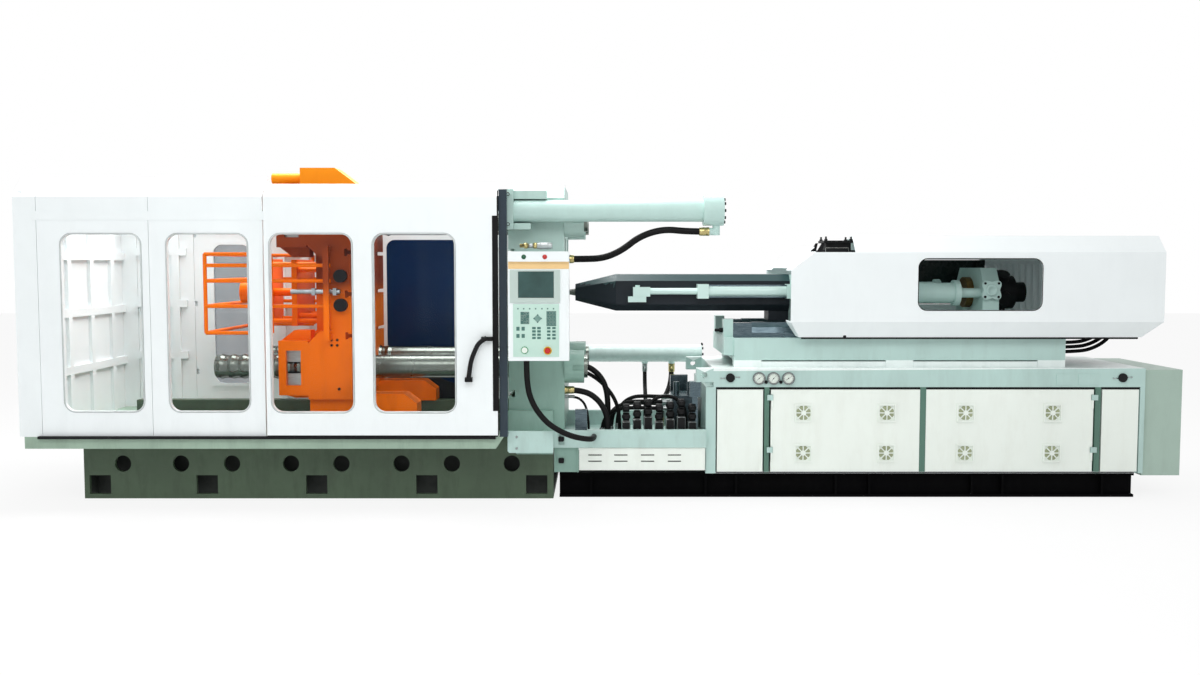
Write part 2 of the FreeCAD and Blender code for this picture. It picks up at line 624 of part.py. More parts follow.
# Moving platen: mould plate, deep corner lugs round the tie bars, a centre boss and two shoes on the ways.
moving = Sizes("moving", left=-2155, right=-1842, plate_left=-1985, half=600, low=725, high=2228, lug_in=300,
               lug_low=1214, lug_high=1738, slope=90, boss=330, boss_z=[1050, 1900], hole=190, centre=120,
               pin_place=170, pin_hole=50, slot=28, slot_wide=50, slot_deep=22, slot_z=[1180, 1476, 1772],
               shoe_y=[370, 560], shoe_tip=-1388, shoe_knee=-1480, shoe_low=690, shoe_high=760)
bar = Sizes("bar", x=[-2018, -1979], y=[660, 690], z=[1150, 1818], block=40, rod_y=620, rod_z=1494, rod_x=[-2262, -1914],
            rod=35, clamp=50, clamp_x=[-2110, -1960], clamp_out=648)
moving_x = (moving.left, moving.right)
moving_pieces = [block((moving.plate_left, moving.right), (-moving.half, moving.half), (moving.low, moving.high)),
                 block(moving_x, (-moving.boss, moving.boss), moving.boss_z)]
for low_corner, lug_y in zip((True, False), both(moving.lug_in, moving.half)):
    lower_lug = [(moving.left, moving.low), (moving.right, moving.low), (moving.right, moving.lug_low),
                 (moving.left + moving.slope, moving.lug_low), (moving.left, moving.lug_low - moving.slope)]
    upper_lug = [(moving.left, moving.lug_high + moving.slope), (moving.left + moving.slope, moving.lug_high),
                 (moving.right, moving.lug_high), (moving.right, moving.high), (moving.left, moving.high)]
    moving_pieces.append(prism("y", lower_lug, lug_y))
    moving_pieces.append(prism("y", upper_lug, lug_y))
for shoe_y in both(moving.shoe_y[0], moving.shoe_y[1]):
    shoe_base = bed.way_top + fit.slide
    shoe_shape = [(moving.left, shoe_base), (moving.shoe_tip, shoe_base), (moving.shoe_tip, moving.shoe_low),
                  (moving.shoe_knee, moving.shoe_high), (moving.right, moving.shoe_high),
                  (moving.left, moving.shoe_high)]
    moving_pieces.append(prism("y", shoe_shape, shoe_y))
cut_x = (moving.left - over, moving.right + over)
moving_cutters = [rod("x", place, cut_x, moving.hole) for place in tie_places]
moving_cutters.append(rod("x", (0, axis.z), cut_x, moving.centre))
pin_places = [(side, axis.z + up) for side in (-moving.pin_place, moving.pin_place)
              for up in (-moving.pin_place, moving.pin_place)]
for place in pin_places:
    moving_cutters.append(rod("x", place, cut_x, moving.pin_hole))
for level in moving.slot_z:
    for slot_y in both(moving.lug_in, moving.half + over):
        half_slot = moving.slot / 2
        half_wide = moving.slot_wide / 2
        slot_end = moving.right - moving.slot_deep
        moving_cutters.append(block((slot_end, moving.right + over), slot_y, (level - half_slot, level + half_slot)))
        moving_cutters.append(block((slot_end - moving.slot_deep, slot_end), slot_y,
                                    (level - half_wide, level + half_wide)))
bar_y = (-bar.y[1], -bar.y[0])
bar_link_y = (-bar.y[0], -moving.half)
moving_bar = block(bar.x, bar_y, bar.z)
bar_feet = [block(bar.x, bar_link_y, (bar.z[0], bar.z[0] + bar.block)),
            block(bar.x, bar_link_y, (bar.z[1] - bar.block, bar.z[1]))]
lugs = Sizes("lugs", x=[-2010, -1880], y=[600, 705], front_z=[2000, 2120], rear_z=[895, 1015])
rod_lugs = [block(lugs.x, (-lugs.y[1], -moving.half), lugs.front_z),
            block(lugs.x, (moving.half, lugs.y[1]), lugs.rear_z)]
node("moving_platen", fuse(cut(fuse(*moving_pieces), *moving_cutters), moving_bar, *bar_feet, *rod_lugs))

# Position rod in two clamps, behind the upright bar.
clamp_y = (-bar.clamp_out, -moving.half)
half_clamp = bar.clamp / 2
clamps = []
for place in bar.clamp_x:
    clamps.append(block((place, place + half_clamp), clamp_y, (bar.rod_z - half_clamp, bar.rod_z + half_clamp)))
node("position_rod", fuse(rod("x", (-bar.rod_y, bar.rod_z), bar.rod_x, bar.rod), *clamps))

# Stroke rods with pistons: pinned to the platen's side lugs, running into the cylinder barrels.
travel = Sizes("travel", piston=[180, 227])
rods = []
for side, level in ((-stroke.y, stroke.high), (stroke.y, stroke.low)):
    shaft = rod("x", (side, level), (lugs.x[1], travel.piston[1]), stroke.rod)
    piston = rod("x", (side, level), travel.piston, stroke.bore - fit.slide * 2)
    rods.append(fuse(shaft, piston))
node("stroke_rods", group(*rods))

# Lock housings: a box round each tie bar, open inside for the two half nuts, with wedge ears outside.
lock = Sizes("lock", left=-2365, depth=210, half_y=150, half_z=195, inside_y=112, inside_z=160, wall=26, hole=190,
             ear=70, ear_small=28, ear_wide=60, ear_slope=45)
jaw = Sizes("jaw", half_y=110, outer=118, split=1, open=40, bore=167, groove=182, tooth=15,
            first=6, last=9)
housings = []
for side, level in tie_places:
    lock_x = (lock.left, moving.left)
    shell = block(lock_x, (side - lock.half_y, side + lock.half_y), (level - lock.half_z, level + lock.half_z))
    cavity = block((lock.left + lock.wall, moving.left - lock.wall),
                   (side - lock.inside_y, side + lock.inside_y), (level - lock.inside_z, level + lock.inside_z))
    bar_hole = rod("x", (side, level), (lock.left - over, moving.left + over), lock.hole)
    ears = []
    for sign in (-1, 1):
        ear_root = level + lock.half_z * sign
        outermost = (sign > 0) == (level.value > axis.z.value)
        ear_tip = ear_root + (lock.ear_small if outermost else lock.ear) * sign
        ear_shape = [(lock.left, ear_root), (moving.left, ear_root), (moving.left, ear_tip),
                     (lock.left + lock.ear_slope * 2, ear_tip)]
        ears.append(prism("y", ear_shape, (side - lock.ear_wide, side + lock.ear_wide)))
    outward = (side - lock.half_y - over, side) if side.value < 0 else (side, side + lock.half_y + over)
    mouth = block((lock.left + lock.wall * 2, moving.left - lock.wall * 2), outward,
                  (level - lock.half_z + lock.ear, level + lock.half_z - lock.ear))
    housings.append(fuse(cut(shell, cavity, bar_hole, mouth), *ears))
node("lock_housings", group(*housings))


def half_nut(side, level, sign):
    """A half nut above (sign 1) or below (sign -1) the bar, drawn back by the opening travel."""
    nut_x = (lock.left + lock.wall + fit.slide, moving.left - lock.wall - fit.slide)
    lift = jaw.open * sign
    near = level + jaw.split * sign
    far = level + jaw.outer * sign
    levels = (near, far) if sign > 0 else (far, near)
    body = block(nut_x, (side - jaw.half_y, side + jaw.half_y), levels)
    bore = rod("x", (side, level), (nut_x[0] - over, nut_x[1] + over), jaw.bore)
    grooves = []
    for number in range(int(jaw.first.value), int(jaw.last.value)):
        root = ribs.left + ribs.pitch * number
        middle = root + ribs.pitch / 2
        grooves.append(cone("x", (side, level), (root, middle), (jaw.bore, jaw.groove + jaw.tooth)))
        grooves.append(cone("x", (side, level), (middle, root + ribs.pitch), (jaw.groove + jaw.tooth, jaw.bore)))
    nut = cut(body, bore, *grooves)
    nut.setExpression("Placement.Base.z", lift.text)
    return nut


node("upper_half_nuts", group(*(half_nut(side, level, 1) for side, level in tie_places)))
node("lower_half_nuts", group(*(half_nut(side, level, -1) for side, level in tie_places)))

# Ejector: a cylinder on four guide rods behind the platen, and the plate with its push rods.
ejector = Sizes("ejector", post_end=-2560, post=36, place=[210, 210], bridge=[-2590, -2560], bridge_half=250,
                body=[-2800, -2590], body_wide=170, plate=[-2360, -2320], plate_half=245, hub=90, hub_x=[-2590, -2560],
                push=36, push_end=-2050, ram=60, ram_end=-2420, collar=90)
guide_places = [(side, axis.z + up) for side in (-ejector.place[0], ejector.place[0])
                for up in (-ejector.place[1], ejector.place[1])]
bridge = block(ejector.bridge, (-ejector.bridge_half, ejector.bridge_half),
               (axis.z - ejector.bridge_half, axis.z + ejector.bridge_half))
ram_bore = rod("x", (0, axis.z), (ejector.body[0] + ejector.push, ejector.bridge[1] + over),
               ejector.ram + fit.running * 2)
ejector_body = fuse(bridge, rod("x", (0, axis.z), ejector.body, ejector.body_wide),
                    *(rod("x", place, (ejector.bridge[1], moving.left), ejector.post) for place in guide_places))
node("ejector_cylinder", cut(ejector_body, ram_bore))
plate_body = block(ejector.plate, (-ejector.plate_half, ejector.plate_half),
                   (axis.z - ejector.plate_half, axis.z + ejector.plate_half))
guide_hole = ejector.post + fit.free
plate_holes = [rod("x", place, (ejector.plate[0] - over, ejector.plate[1] + over), guide_hole)
               for place in guide_places]
pushers = [rod("x", place, (ejector.plate[1], ejector.push_end), ejector.push) for place in pin_places]
ram = rod("x", (0, axis.z), (ejector.body[0] + ejector.push * 3, ejector.plate[0]), ejector.ram)
node("ejector_plate", fuse(cut(plate_body, *plate_holes), *pushers, ram))

# Ejector guard: five round bars bent in a U from one side of the platen to the other, and an upright.
cage = Sizes("cage", left=-2880, bar=27, half=585, z=[1200, 1390, 1570, 1680, 1760], upright_x=-2800,
             plate=8, plate_x=[-2410, -2340], lug_z=[1150, 1800])
cage_sides = []
for side in (-cage.half, cage.half):
    side_bars = [rod("z", (place, side), (cage.z[0], cage.z[4]), cage.bar) for place in (cage.left, cage.plate_x[0])]
    for level in cage.z:
        outer_bar = level is cage.z[0] or level is cage.z[4]
        bar_end = cage.plate_x[0] if outer_bar else moving.plate_left
        side_bars.append(rod("x", (side, level), (cage.left, bar_end), cage.bar))
    cage_sides.append(fuse(*side_bars))
half_bar = cage.bar / 2
rungs = [rod("y", (cage.left, level), (half_bar - cage.half, cage.half - half_bar), cage.bar) for level in cage.z]
node("ejector_guard", group(*cage_sides, *rungs))

# Valve block and accumulator on top of the platen, with two round caps on its operator side.
valves = Sizes("valves", x=[-2201, -1955], y=[340, 560], top=2370, tail=-1796, tail_top=2300, tank=[-2425, -2201],
               tank_z=2300, tank_wide=78, cap=92, cap_x=-1910, cap_z=[1605, 1399], cap_y=648)
valve_y = (-valves.y[1], -valves.y[0])
valve_shape = [(valves.x[0], moving.high), (valves.tail, moving.high), (valves.tail, moving.high + valves.cap / 4),
               (valves.x[1], valves.top), (valves.x[0], valves.top)]
valve_body = prism("y", valve_shape, valve_y)
tank_y = -(valves.y[0] + valves.y[1]) / 2
tank = rod("x", (tank_y, valves.tank_z), valves.tank, valves.tank_wide)
caps = [rod("y", (valves.cap_x, level), (-valves.cap_y, -moving.half), valves.cap) for level in valves.cap_z]
node("platen_valve_box", group(fuse(valve_body, tank), *caps))

# Injection unit on the carriage. The nozzle and barrel lie on the machine axis.
screw = Sizes("screw", bore=86, shaft=70, flight=85.9, tip=-140, coupling=70)
barrel = Sizes("barrel", left=-150, right=1950, outside=210, end_cap=150, cap_x=20)
nozzle = Sizes("nozzle", tip=-319, tip_dia=34, neck=-230, neck_dia=66, base=-150, base_dia=110, bore=22)
node("screw_barrel", cut(fuse(rod("x", (0, axis.z), (barrel.cap_x, barrel.right), barrel.outside),
                              rod("x", (0, axis.z), (barrel.left, barrel.cap_x), barrel.end_cap)),
                         rod("x", (0, axis.z), (barrel.left - over, barrel.right + over), screw.bore)))
nozzle_shape = [(nozzle.tip, 0), (nozzle.tip, nozzle.tip_dia / 2), (nozzle.neck, nozzle.neck_dia / 2),
                (nozzle.neck, nozzle.base_dia / 2), (nozzle.base, nozzle.base_dia / 2), (nozzle.base, 0)]
node("nozzle", cut(turned("x", (0, axis.z), nozzle_shape),
                   rod("x", (0, axis.z), (nozzle.tip - over, nozzle.base + over), nozzle.bore)))

# Barrel guard: an eight-sided hood, tapered to the nozzle end, open at both ends.
hood = Sizes("hood", tip=-262, tip_half=62, tip_y=70, shoulder=-120, low_shoulder=45, right=1354, half=137,
             wide=170, edge=88, edge_y=50, sheet=5, tip_edge=34, tip_edge_y=28)


def eight_sides(half_y, half_z, edge_y, edge_z):
    return [(-edge_y, axis.z - half_z), (edge_y, axis.z - half_z), (half_y, axis.z - edge_z),
            (half_y, axis.z + edge_z), (edge_y, axis.z + half_z), (-edge_y, axis.z + half_z),
            (-half_y, axis.z + edge_z), (-half_y, axis.z - edge_z)]


def loft_body(first_x, first, second_x, second):
    """A straight-sided loft between two outlines square to X."""
    body = doc.addObject("PartDesign::Body", "Loft")
    sketches = []
    for place, points in ((first_x, first), (second_x, second)):
        sketch = outline(body, "YZ_Plane", points)
        sketch.setExpression(".AttachmentOffset.Base.z", term(place).text)
        sketches.append(sketch)
    loft = body.newObject("PartDesign::AdditiveLoft", "Taper")
    loft.Profile = sketches[0]
    loft.Sections = [sketches[1]]
    loft.Ruled = True
    return body


sheet_in = hood.sheet
full = eight_sides(hood.wide, hood.half, hood.wide - hood.edge_y, hood.edge)
full_in = eight_sides(hood.wide - sheet_in, hood.half - sheet_in, hood.wide - hood.edge_y - sheet_in / 2,
                      hood.edge - sheet_in / 2)
small = eight_sides(hood.tip_y, hood.tip_half, hood.tip_y - hood.tip_edge_y, hood.tip_edge)
small_in = eight_sides(hood.tip_y - sheet_in, hood.tip_half - sheet_in,
                       hood.tip_y - hood.tip_edge_y - sheet_in / 2, hood.tip_edge - sheet_in / 2)
hood_outer = fuse(prism("x", full, (hood.low_shoulder, hood.right)), loft_body(hood.tip, small, hood.low_shoulder, full))
hood_inner = fuse(prism("x", full_in, (hood.low_shoulder, hood.right + over)),
                  loft_body(hood.tip, small_in, hood.low_shoulder, full_in),
                  prism("x", small_in, (hood.tip - over, hood.tip)))
hood_foot = Sizes("hood_foot", x=[1194, 1344], z=[1263.3, 1339], half=110)
hood_feet = block(hood_foot.x, (-hood_foot.half, hood_foot.half), hood_foot.z)
node("barrel_guard", fuse(cut(hood_outer, hood_inner), hood_feet))

# Injection housing on the carriage plate: front plate, feed block round the barrel, cylinder plate, and the
# hose block that hangs from the plate through the slot of the base frame.
carriage = Sizes("carriage", base_z=[1263.3, 1303], half=330, front=[1344, 1384], front_top=1680,
                 feed=[1600, 1850], feed_half=170, feed_top=1774, feed_hole=76, plate=[1880, 1950],
                 base_right=3400, block=[3230, 3390], block_z=[985, 1105], block_half=190, neck_half=150)
base_plate = block((carriage.front[0], carriage.base_right), (-carriage.half, carriage.half), carriage.base_z)
unit_pieces = [base_plate,
               block(carriage.front, (-carriage.half, carriage.half), (carriage.base_z[1], carriage.front_top)),
               block(carriage.feed, (-carriage.feed_half, carriage.feed_half),
                     (carriage.base_z[1], carriage.feed_top)),
               block(carriage.plate, (-carriage.half, carriage.half), (carriage.base_z[1], carriage.front_top)),
               block(carriage.block, (-carriage.neck_half, carriage.neck_half),
                     (carriage.block_z[1], carriage.base_z[0])),
               block(carriage.block, (-carriage.block_half, carriage.block_half), carriage.block_z)]
unit_cutters = [rod("x", (0, axis.z), (carriage.front[0] - over, barrel.right + over), barrel.outside),
                rod("z", ((carriage.feed[0] + carriage.feed[1]) / 2, 0), (axis.z, carriage.feed_top + over),
                    carriage.feed_hole),
                prism("x", eight_sides(hood.wide, hood.half, hood.wide - hood.edge_y, hood.edge),
                      (carriage.front[0] - over, hood.right))]
node("injection_housing", cut(fuse(*unit_pieces), *unit_cutters))

# Injection cylinders either side of the screw line; their rods belong to the thrust block.
push = Sizes("push", y=235, outside=150, bore=110, right=2580, cap=60, rod=70, piston=[2000, 2050], flange=190,
             flange_x=[2540, 2580])
push_places = [(-push.y, axis.z), (push.y, axis.z)]
push_barrels = []
for place in push_places:
    shell = fuse(rod("x", place, (carriage.plate[1], push.right), push.outside),
                 rod("x", place, push.flange_x, push.flange))
    inside = rod("x", place, (carriage.plate[1] + push.cap / 2, push.right - push.cap), push.bore)
    gland = rod("x", place, (push.right - push.cap - over, push.right + over), push.rod + fit.running * 2)
    push_barrels.append(cut(shell, inside, gland))
node("injection_cylinders", group(*push_barrels))

# Thrust block: the cross plate that the cylinder rods and the screw's bearing are fixed to.
thrust = Sizes("thrust", x=[2740, 2860], half=310, z=[1304, 1660], disc=[2690, 2740], disc_wide=230,
               bearing=120, foot_x=[2720, 2900], foot_z=1335, motor=[2860, 3060], motor_wide=250, lobe=104,
               lobe_reach=172, cap=[3060, 3150], cap_wide=150)
thrust_shape = [(-thrust.half, thrust.z[0]), (thrust.half, thrust.z[0]), (thrust.half, axis.z + push.outside / 2),
                (push.y, thrust.z[1]), (-push.y, thrust.z[1]), (-thrust.half, axis.z + push.outside / 2)]
thrust_body = fuse(prism("x", thrust_shape, thrust.x),
                   rod("x", (0, axis.z), thrust.disc, thrust.disc_wide),
                   *(rod("x", place, (push.piston[0], thrust.x[0]), push.rod) for place in push_places),
                   *(rod("x", place, push.piston, push.bore - fit.running * 2) for place in push_places))
thrust_bore = rod("x", (0, axis.z), (thrust.disc[0] - over, thrust.x[1] - over), screw.coupling + fit.running * 2)
node("thrust_block", cut(thrust_body, thrust_bore))

# Radial piston motor on the back of the thrust block: five lobes round a drum, with an end cap.
motor_middle = (thrust.motor[0] + thrust.motor[1]) / 2
lobes = []
lobe_count = 5
for number in range(lobe_count):
    lobe = doc.addObject("Part::Cylinder", "Lobe")
    bind(lobe, "Radius", thrust.lobe / 2)
    bind(lobe, "Height", thrust.lobe_reach)
    lobe.Placement.Rotation = FreeCAD.Rotation(FreeCAD.Vector(1, 0, 0), 90 + 360 * number / lobe_count + 90)
    lobes.append(move(lobe, motor_middle, 0, axis.z))
node("screw_motor", fuse(rod("x", (0, axis.z), thrust.motor, thrust.motor_wide),
                         rod("x", (0, axis.z), thrust.cap, thrust.cap_wide), *lobes))

# Feed screw: tip, flighted length as close rings of the flight's true pitch, and the drive shank.
flight = Sizes("flight", pitch=86, land=9, last=1700, tip_back=-60)
flight_count = 6
screw_shape = [(screw.tip, 0), (flight.tip_back, screw.shaft / 2), (thrust.disc[0] + screw.coupling, screw.shaft / 2),
               (thrust.disc[0] + screw.coupling, 0)]
flights = []
for number in range(flight_count):
    start = flight.last - flight.pitch * number
    flights.append(rod("x", (0, axis.z), (start, start + flight.land), screw.flight))
node("feed_screw", fuse(turned("x", (0, axis.z), screw_shape), *flights))

# Hopper throat on the feed block: flanged duct with four studs for the hopper.
throat = Sizes("throat", x=[1589, 1848], half=130, base=20, neck=[1625, 1812], neck_half=95, top_x=[1606, 1831],
               top_half=112, top=[1848, 1866], stud=14, stud_top=1896, stud_in=18)
throat_middle = (throat.x[0] + throat.x[1]) / 2
throat_body = fuse(block(throat.x, (-throat.half, throat.half), (carriage.feed_top, carriage.feed_top + throat.base)),
                   block(throat.neck, (-throat.neck_half, throat.neck_half),
                         (carriage.feed_top + throat.base, throat.top[0])),
                   block(throat.top_x, (-throat.top_half, throat.top_half), throat.top))
studs = []
for place in (throat.top_x[0] + throat.stud_in, throat.top_x[1] - throat.stud_in):
    for side in (throat.stud_in - throat.top_half, throat.top_half - throat.stud_in):
        studs.append(rod("z", (place, side), (throat.top[1], throat.stud_top), throat.stud))
throat_hole = rod("z", ((carriage.feed[0] + carriage.feed[1]) / 2, 0), (carriage.feed_top - over, throat.top[1] + over),
                  carriage.feed_hole)
node("hopper_throat", cut(fuse(throat_body, *studs), throat_hole))

# Carriage cylinders on both sides of the barrel guard: pin block, rod, square head and tie-rod body.
pull = Sizes("carry", y=232, z=1488, bracket_x=[133, 267], bracket_z=[1408, 1449], bracket_out=262, block_x=[170, 296],
             block_z=[1449, 1519], block_y=[196, 268], pin=34, pin_top=1533, rod=48, rod_x=[296, 660], head=[645, 727],
             head_half=53, body=84, body_right=1304, end=[1304, 1344], tie=12, tie_half=42)
pull_cylinders = []
for side in (-1, 1):
    centre_y = pull.y if side > 0 else -pull.y

    def strip(low, high):
        return (low, high) if side > 0 else (-high, -low)

    head_y = (centre_y - pull.head_half, centre_y + pull.head_half)
    head_z = (pull.z - pull.head_half, pull.z + pull.head_half)
    parts = [block(pull.bracket_x, strip(hood.wide, pull.bracket_out), pull.bracket_z),
             block(pull.block_x, strip(pull.block_y[0], pull.block_y[1]), pull.block_z),
             rod("z", (pull.block_x[0] + pull.pin, centre_y), (pull.block_z[1], pull.pin_top), pull.pin),
             rod("x", (centre_y, pull.z), pull.rod_x, pull.rod),
             block(pull.head, head_y, head_z),
             block(pull.end, head_y, head_z),
             rod("x", (centre_y, pull.z), (pull.head[1], pull.body_right), pull.body)]
    for across in (-pull.tie_half, pull.tie_half):
        for up in (-pull.tie_half, pull.tie_half):
            parts.append(rod("x", (centre_y + across, pull.z + up), (pull.head[1], pull.body_right), pull.tie))
    pull_cylinders.append(fuse(*parts))
node("carriage_cylinders", group(*pull_cylinders))

# Unit cover: a bevelled sheet hood over the injection unit, open below, with windows front and rear.
cover = Sizes("cover", x=[1281, 3935], half=600, low=1278, high=1772, top=1892, top_y=480, skirt=1164,
              skirt_y=510, sheet=5, corner_low=1647, corner_x=1444, tuck=[1370, 3799], window=[2187, 3062],
              window_z=[1363, 1725], round=60, throat_x=[1560, 1878], throat_half=160, mouth_half=355,
              mouth_top=1660, rest=[1344, 1384], rest_z=[1620, 1675])
cover_shape = [(-cover.skirt_y, cover.skirt), (-cover.half, cover.low), (-cover.half, cover.high),
               (-cover.top_y, cover.top), (cover.top_y, cover.top), (cover.half, cover.high),
               (cover.half, cover.low), (cover.skirt_y, cover.skirt)]
lining = cover.sheet
cover_inside = [(lining - cover.skirt_y, cover.skirt - over), (lining - cover.skirt_y, cover.skirt),
                (lining - cover.half, cover.low), (lining - cover.half, cover.high - lining / 2),
                (lining / 2 - cover.top_y, cover.top - lining), (cover.top_y - lining / 2, cover.top - lining),
                (cover.half - lining, cover.high - lining / 2), (cover.half - lining, cover.low),
                (cover.skirt_y - lining, cover.skirt), (cover.skirt_y - lining, cover.skirt - over)]


def cover_corners(shift):
    """The three slanted ends of the cover, moved inwards by the shift for its inner face."""
    wide_y = (-cover.half - over, cover.half + over)
    slope = (cover.corner_x - cover.x[0]) / (cover.high - cover.corner_low)
    rise = cover.top - cover.high + over
    top_left = [(cover.x[0] - over, cover.corner_low - shift), (cover.x[0] + shift, cover.corner_low - shift),
                (cover.corner_x + slope * rise + shift, cover.top + over),
                (cover.x[0] - over, cover.top + over)]
    low_left = [(cover.x[0] - over, cover.low + shift), (cover.x[0] + shift, cover.low + shift),
                (cover.tuck[0] + shift, cover.skirt - over * 2), (cover.x[0] - over, cover.skirt - over * 2)]
    low_right = [(cover.x[1] + over, cover.low + shift), (cover.x[1] + over, cover.skirt - over * 2),
                 (cover.tuck[1] - shift, cover.skirt - over * 2), (cover.x[1] - shift, cover.low + shift)]
    return [prism("y", shape, wide_y) for shape in (top_left, low_left, low_right)]


cover_outer = cut(prism("x", cover_shape, cover.x), *cover_corners(fit.free * 0))
cover_inner = cut(prism("x", cover_inside, (cover.x[0] + lining, cover.x[1] - lining)), *cover_corners(lining))
cover_cutters = [pane_hole(cover.window, cover.window_z, window_y, cover.round)
                 for window_y in both(cover.half - lining - over, cover.half + over)]
cover_cutters.append(block(cover.throat_x, (-cover.throat_half, cover.throat_half),
                           (cover.top - lining - over, cover.top + over)))
cover_cutters.append(block((cover.x[0] - over, carriage.front[0]), (-cover.mouth_half, cover.mouth_half),
                           (cover.skirt - over, cover.mouth_top)))
cover_cutters.append(block((cover.x[0] - over, cover.tuck[0] + over), (-cover.mouth_half, cover.mouth_half),
                           (cover.skirt - over, cover.low)))
cover_rests = [block(cover.rest, (-cover.half + lining, -carriage.half), cover.rest_z),
               block(cover.rest, (carriage.half, cover.half - lining), cover.rest_z)]
cover_shell = cut(cover_outer, cover_inner, *cover_cutters)
node("unit_cover", fuse(cover_shell, *cover_rests))

# Injection deck: a box beam frame with pads on top, tie-down lugs and round plugs on its faces.
deck = Sizes("deck", x=[742, 3851], half=525, z=[805, 941], wall=20, lug=[620, 742], lug_z=[841, 941],
             lug_y=[455, 525], lug_hole=44, lug_place=[676, 891], plug=64, plug_out=12, plug_x=[863, 3686], plug_z=873,
             pad_y=[330, 430], pad_top=991,
             plate=[3210, 3340, 3370, 3520], plate_z=[820, 900], plate_out=4)
pads = Sizes("pads", left=[901, 2005, 3110], long=199)
deck_top = [block(deck.x, (-deck.half, deck.half), (deck.z[1] - deck.wall, deck.z[1]))]
deck_walls = []
wall_z = (deck.z[0], deck.z[1] - deck.wall)
for lug_y, pad_y, side_y in zip(both(deck.lug_y[0], deck.lug_y[1]), both(deck.pad_y[0], deck.pad_y[1]),
                                both(deck.half - deck.wall, deck.half)):
    hole_y = (lug_y[0] - over, lug_y[1] + over)
    deck_walls.append(block(deck.x, side_y, wall_z))
    deck_walls.append(cut(block(deck.lug, lug_y, deck.lug_z), rod("y", deck.lug_place, hole_y, deck.lug_hole)))
    for place in pads.left:
        deck_top.append(block((place, place + pads.long), pad_y, (deck.z[1], deck.pad_top)))
for span in ((deck.x[0], deck.x[0] + deck.wall), (deck.x[1] - deck.wall, deck.x[1])):
    deck_walls.append(block(span, (deck.wall - deck.half, deck.half - deck.wall), wall_z))
for place in deck.plug_x:
    deck_walls.append(rod("y", (place, deck.plug_z), (-deck.half - deck.plug_out, -deck.half), deck.plug))
for span in ((deck.plate[0], deck.plate[1]), (deck.plate[2], deck.plate[3])):
    deck_walls.append(block(span, (-deck.half - deck.plate_out, -deck.half), deck.plate_z))
node("injection_deck", group(fuse(*deck_top), *deck_walls))

# Pressure gauges in a row on the deck's front face.
gauge = Sizes("gauge", x=[1068, 1172, 1279], z=870, wide=90, glass=74, out=26, dish=5)
gauges = []
for place in gauge.x:
    gauge_y = (-deck.half - gauge.out, -deck.half)
    dial = rod("y", (place, gauge.z), (gauge_y[0] - over, gauge_y[0] + gauge.dish), gauge.glass)
    gauges.append(cut(rod("y", (place, gauge.z), gauge_y, gauge.wide), dial))
node("pressure_gauges", group(*gauges))

# Base frame of the injection unit: an open-ended channel on the deck pads, with a front stop plate.
base = Sizes("base", x=[901, 3309], half=430, top=1150, wall=30, stop=[832, 901], stop_z=[1025, 1155],
             stop_half=400, ear_y=[235, 345], ear_top=1285, slot=[2450, 3309], slot_half=190)
base_pieces = [cut(block(base.x, (-base.half, base.half), (deck.pad_top, base.top)),
                   block((base.x[0] + base.wall, base.x[1] + over), (base.wall - base.half, base.half - base.wall),
                         (deck.pad_top - over, base.top - base.wall)),
                   block((base.slot[0], base.slot[1] + over), (-base.slot_half, base.slot_half),
                         (base.top - base.wall - over, base.top + over))),
               block(base.stop, (-base.stop_half, base.stop_half), base.stop_z)]
for ear_y in both(base.ear_y[0], base.ear_y[1]):
    base_pieces.append(block(base.stop, ear_y, (base.stop_z[1], base.ear_top)))
node("base_frame", fuse(*base_pieces))

# Guide rails under the carriage, each starting at a bolted front block.
guide = Sizes("guide", block=[901, 1039], block_y=[240, 340], block_top=1258, right=3300, y=[255, 325], waist=12,
              waist_z=[1185, 1225], top=1263)
guide_rails = []
for sign in (-1, 1):
    section = [(guide.y[0], base.top), (guide.y[1], base.top), (guide.y[1], guide.waist_z[0]),
               (guide.y[1] - guide.waist, guide.waist_z[1]), (guide.y[1], guide.top), (guide.y[0], guide.top),
               (guide.y[0] + guide.waist, guide.waist_z[1]), (guide.y[0], guide.waist_z[0])]
    section = [(across if sign > 0 else -across, up) for across, up in section]
    span_y = both(guide.block_y[0], guide.block_y[1])[0 if sign < 0 else 1]
    guide_rails.append(fuse(prism("x", section, (guide.block[1], guide.right)),
                            block(guide.block, span_y, (base.top, guide.block_top))))
node("guide_rails", group(*guide_rails))

# Plinth under the injection end: a channel-faced frame with upright ribs.
plinth = Sizes("plinth", x=[-369, 3801], half=500, top=178, lip=20, web=40, inside=430, rib_wide=16,
               rib_x=[-147, 684, 906, 1630, 1874, 2619, 2841, 3564])
plinth_pieces = []
for channel_y, face_y, recess_y in zip(both(plinth.inside, plinth.half),
                                       both(plinth.half - plinth.web, plinth.half),
                                       both(plinth.half - plinth.web, plinth.half + over)):
    recess = block((plinth.x[0] - over, plinth.x[1] + over), recess_y, (plinth.lip, plinth.top - plinth.lip))
    channel_ribs = [block((place, place + plinth.rib_wide), face_y, (plinth.lip, plinth.top - plinth.lip))
                    for place in plinth.rib_x]
    plinth_pieces.append(fuse(cut(block(plinth.x, channel_y, (0, plinth.top)), recess), *channel_ribs))
for span in ((plinth.x[0], plinth.x[0] + plinth.web), (plinth.x[1] - plinth.web, plinth.x[1])):
    plinth_pieces.append(block(span, (-plinth.inside, plinth.inside), (0, plinth.top)))
node("plinth", group(*plinth_pieces))

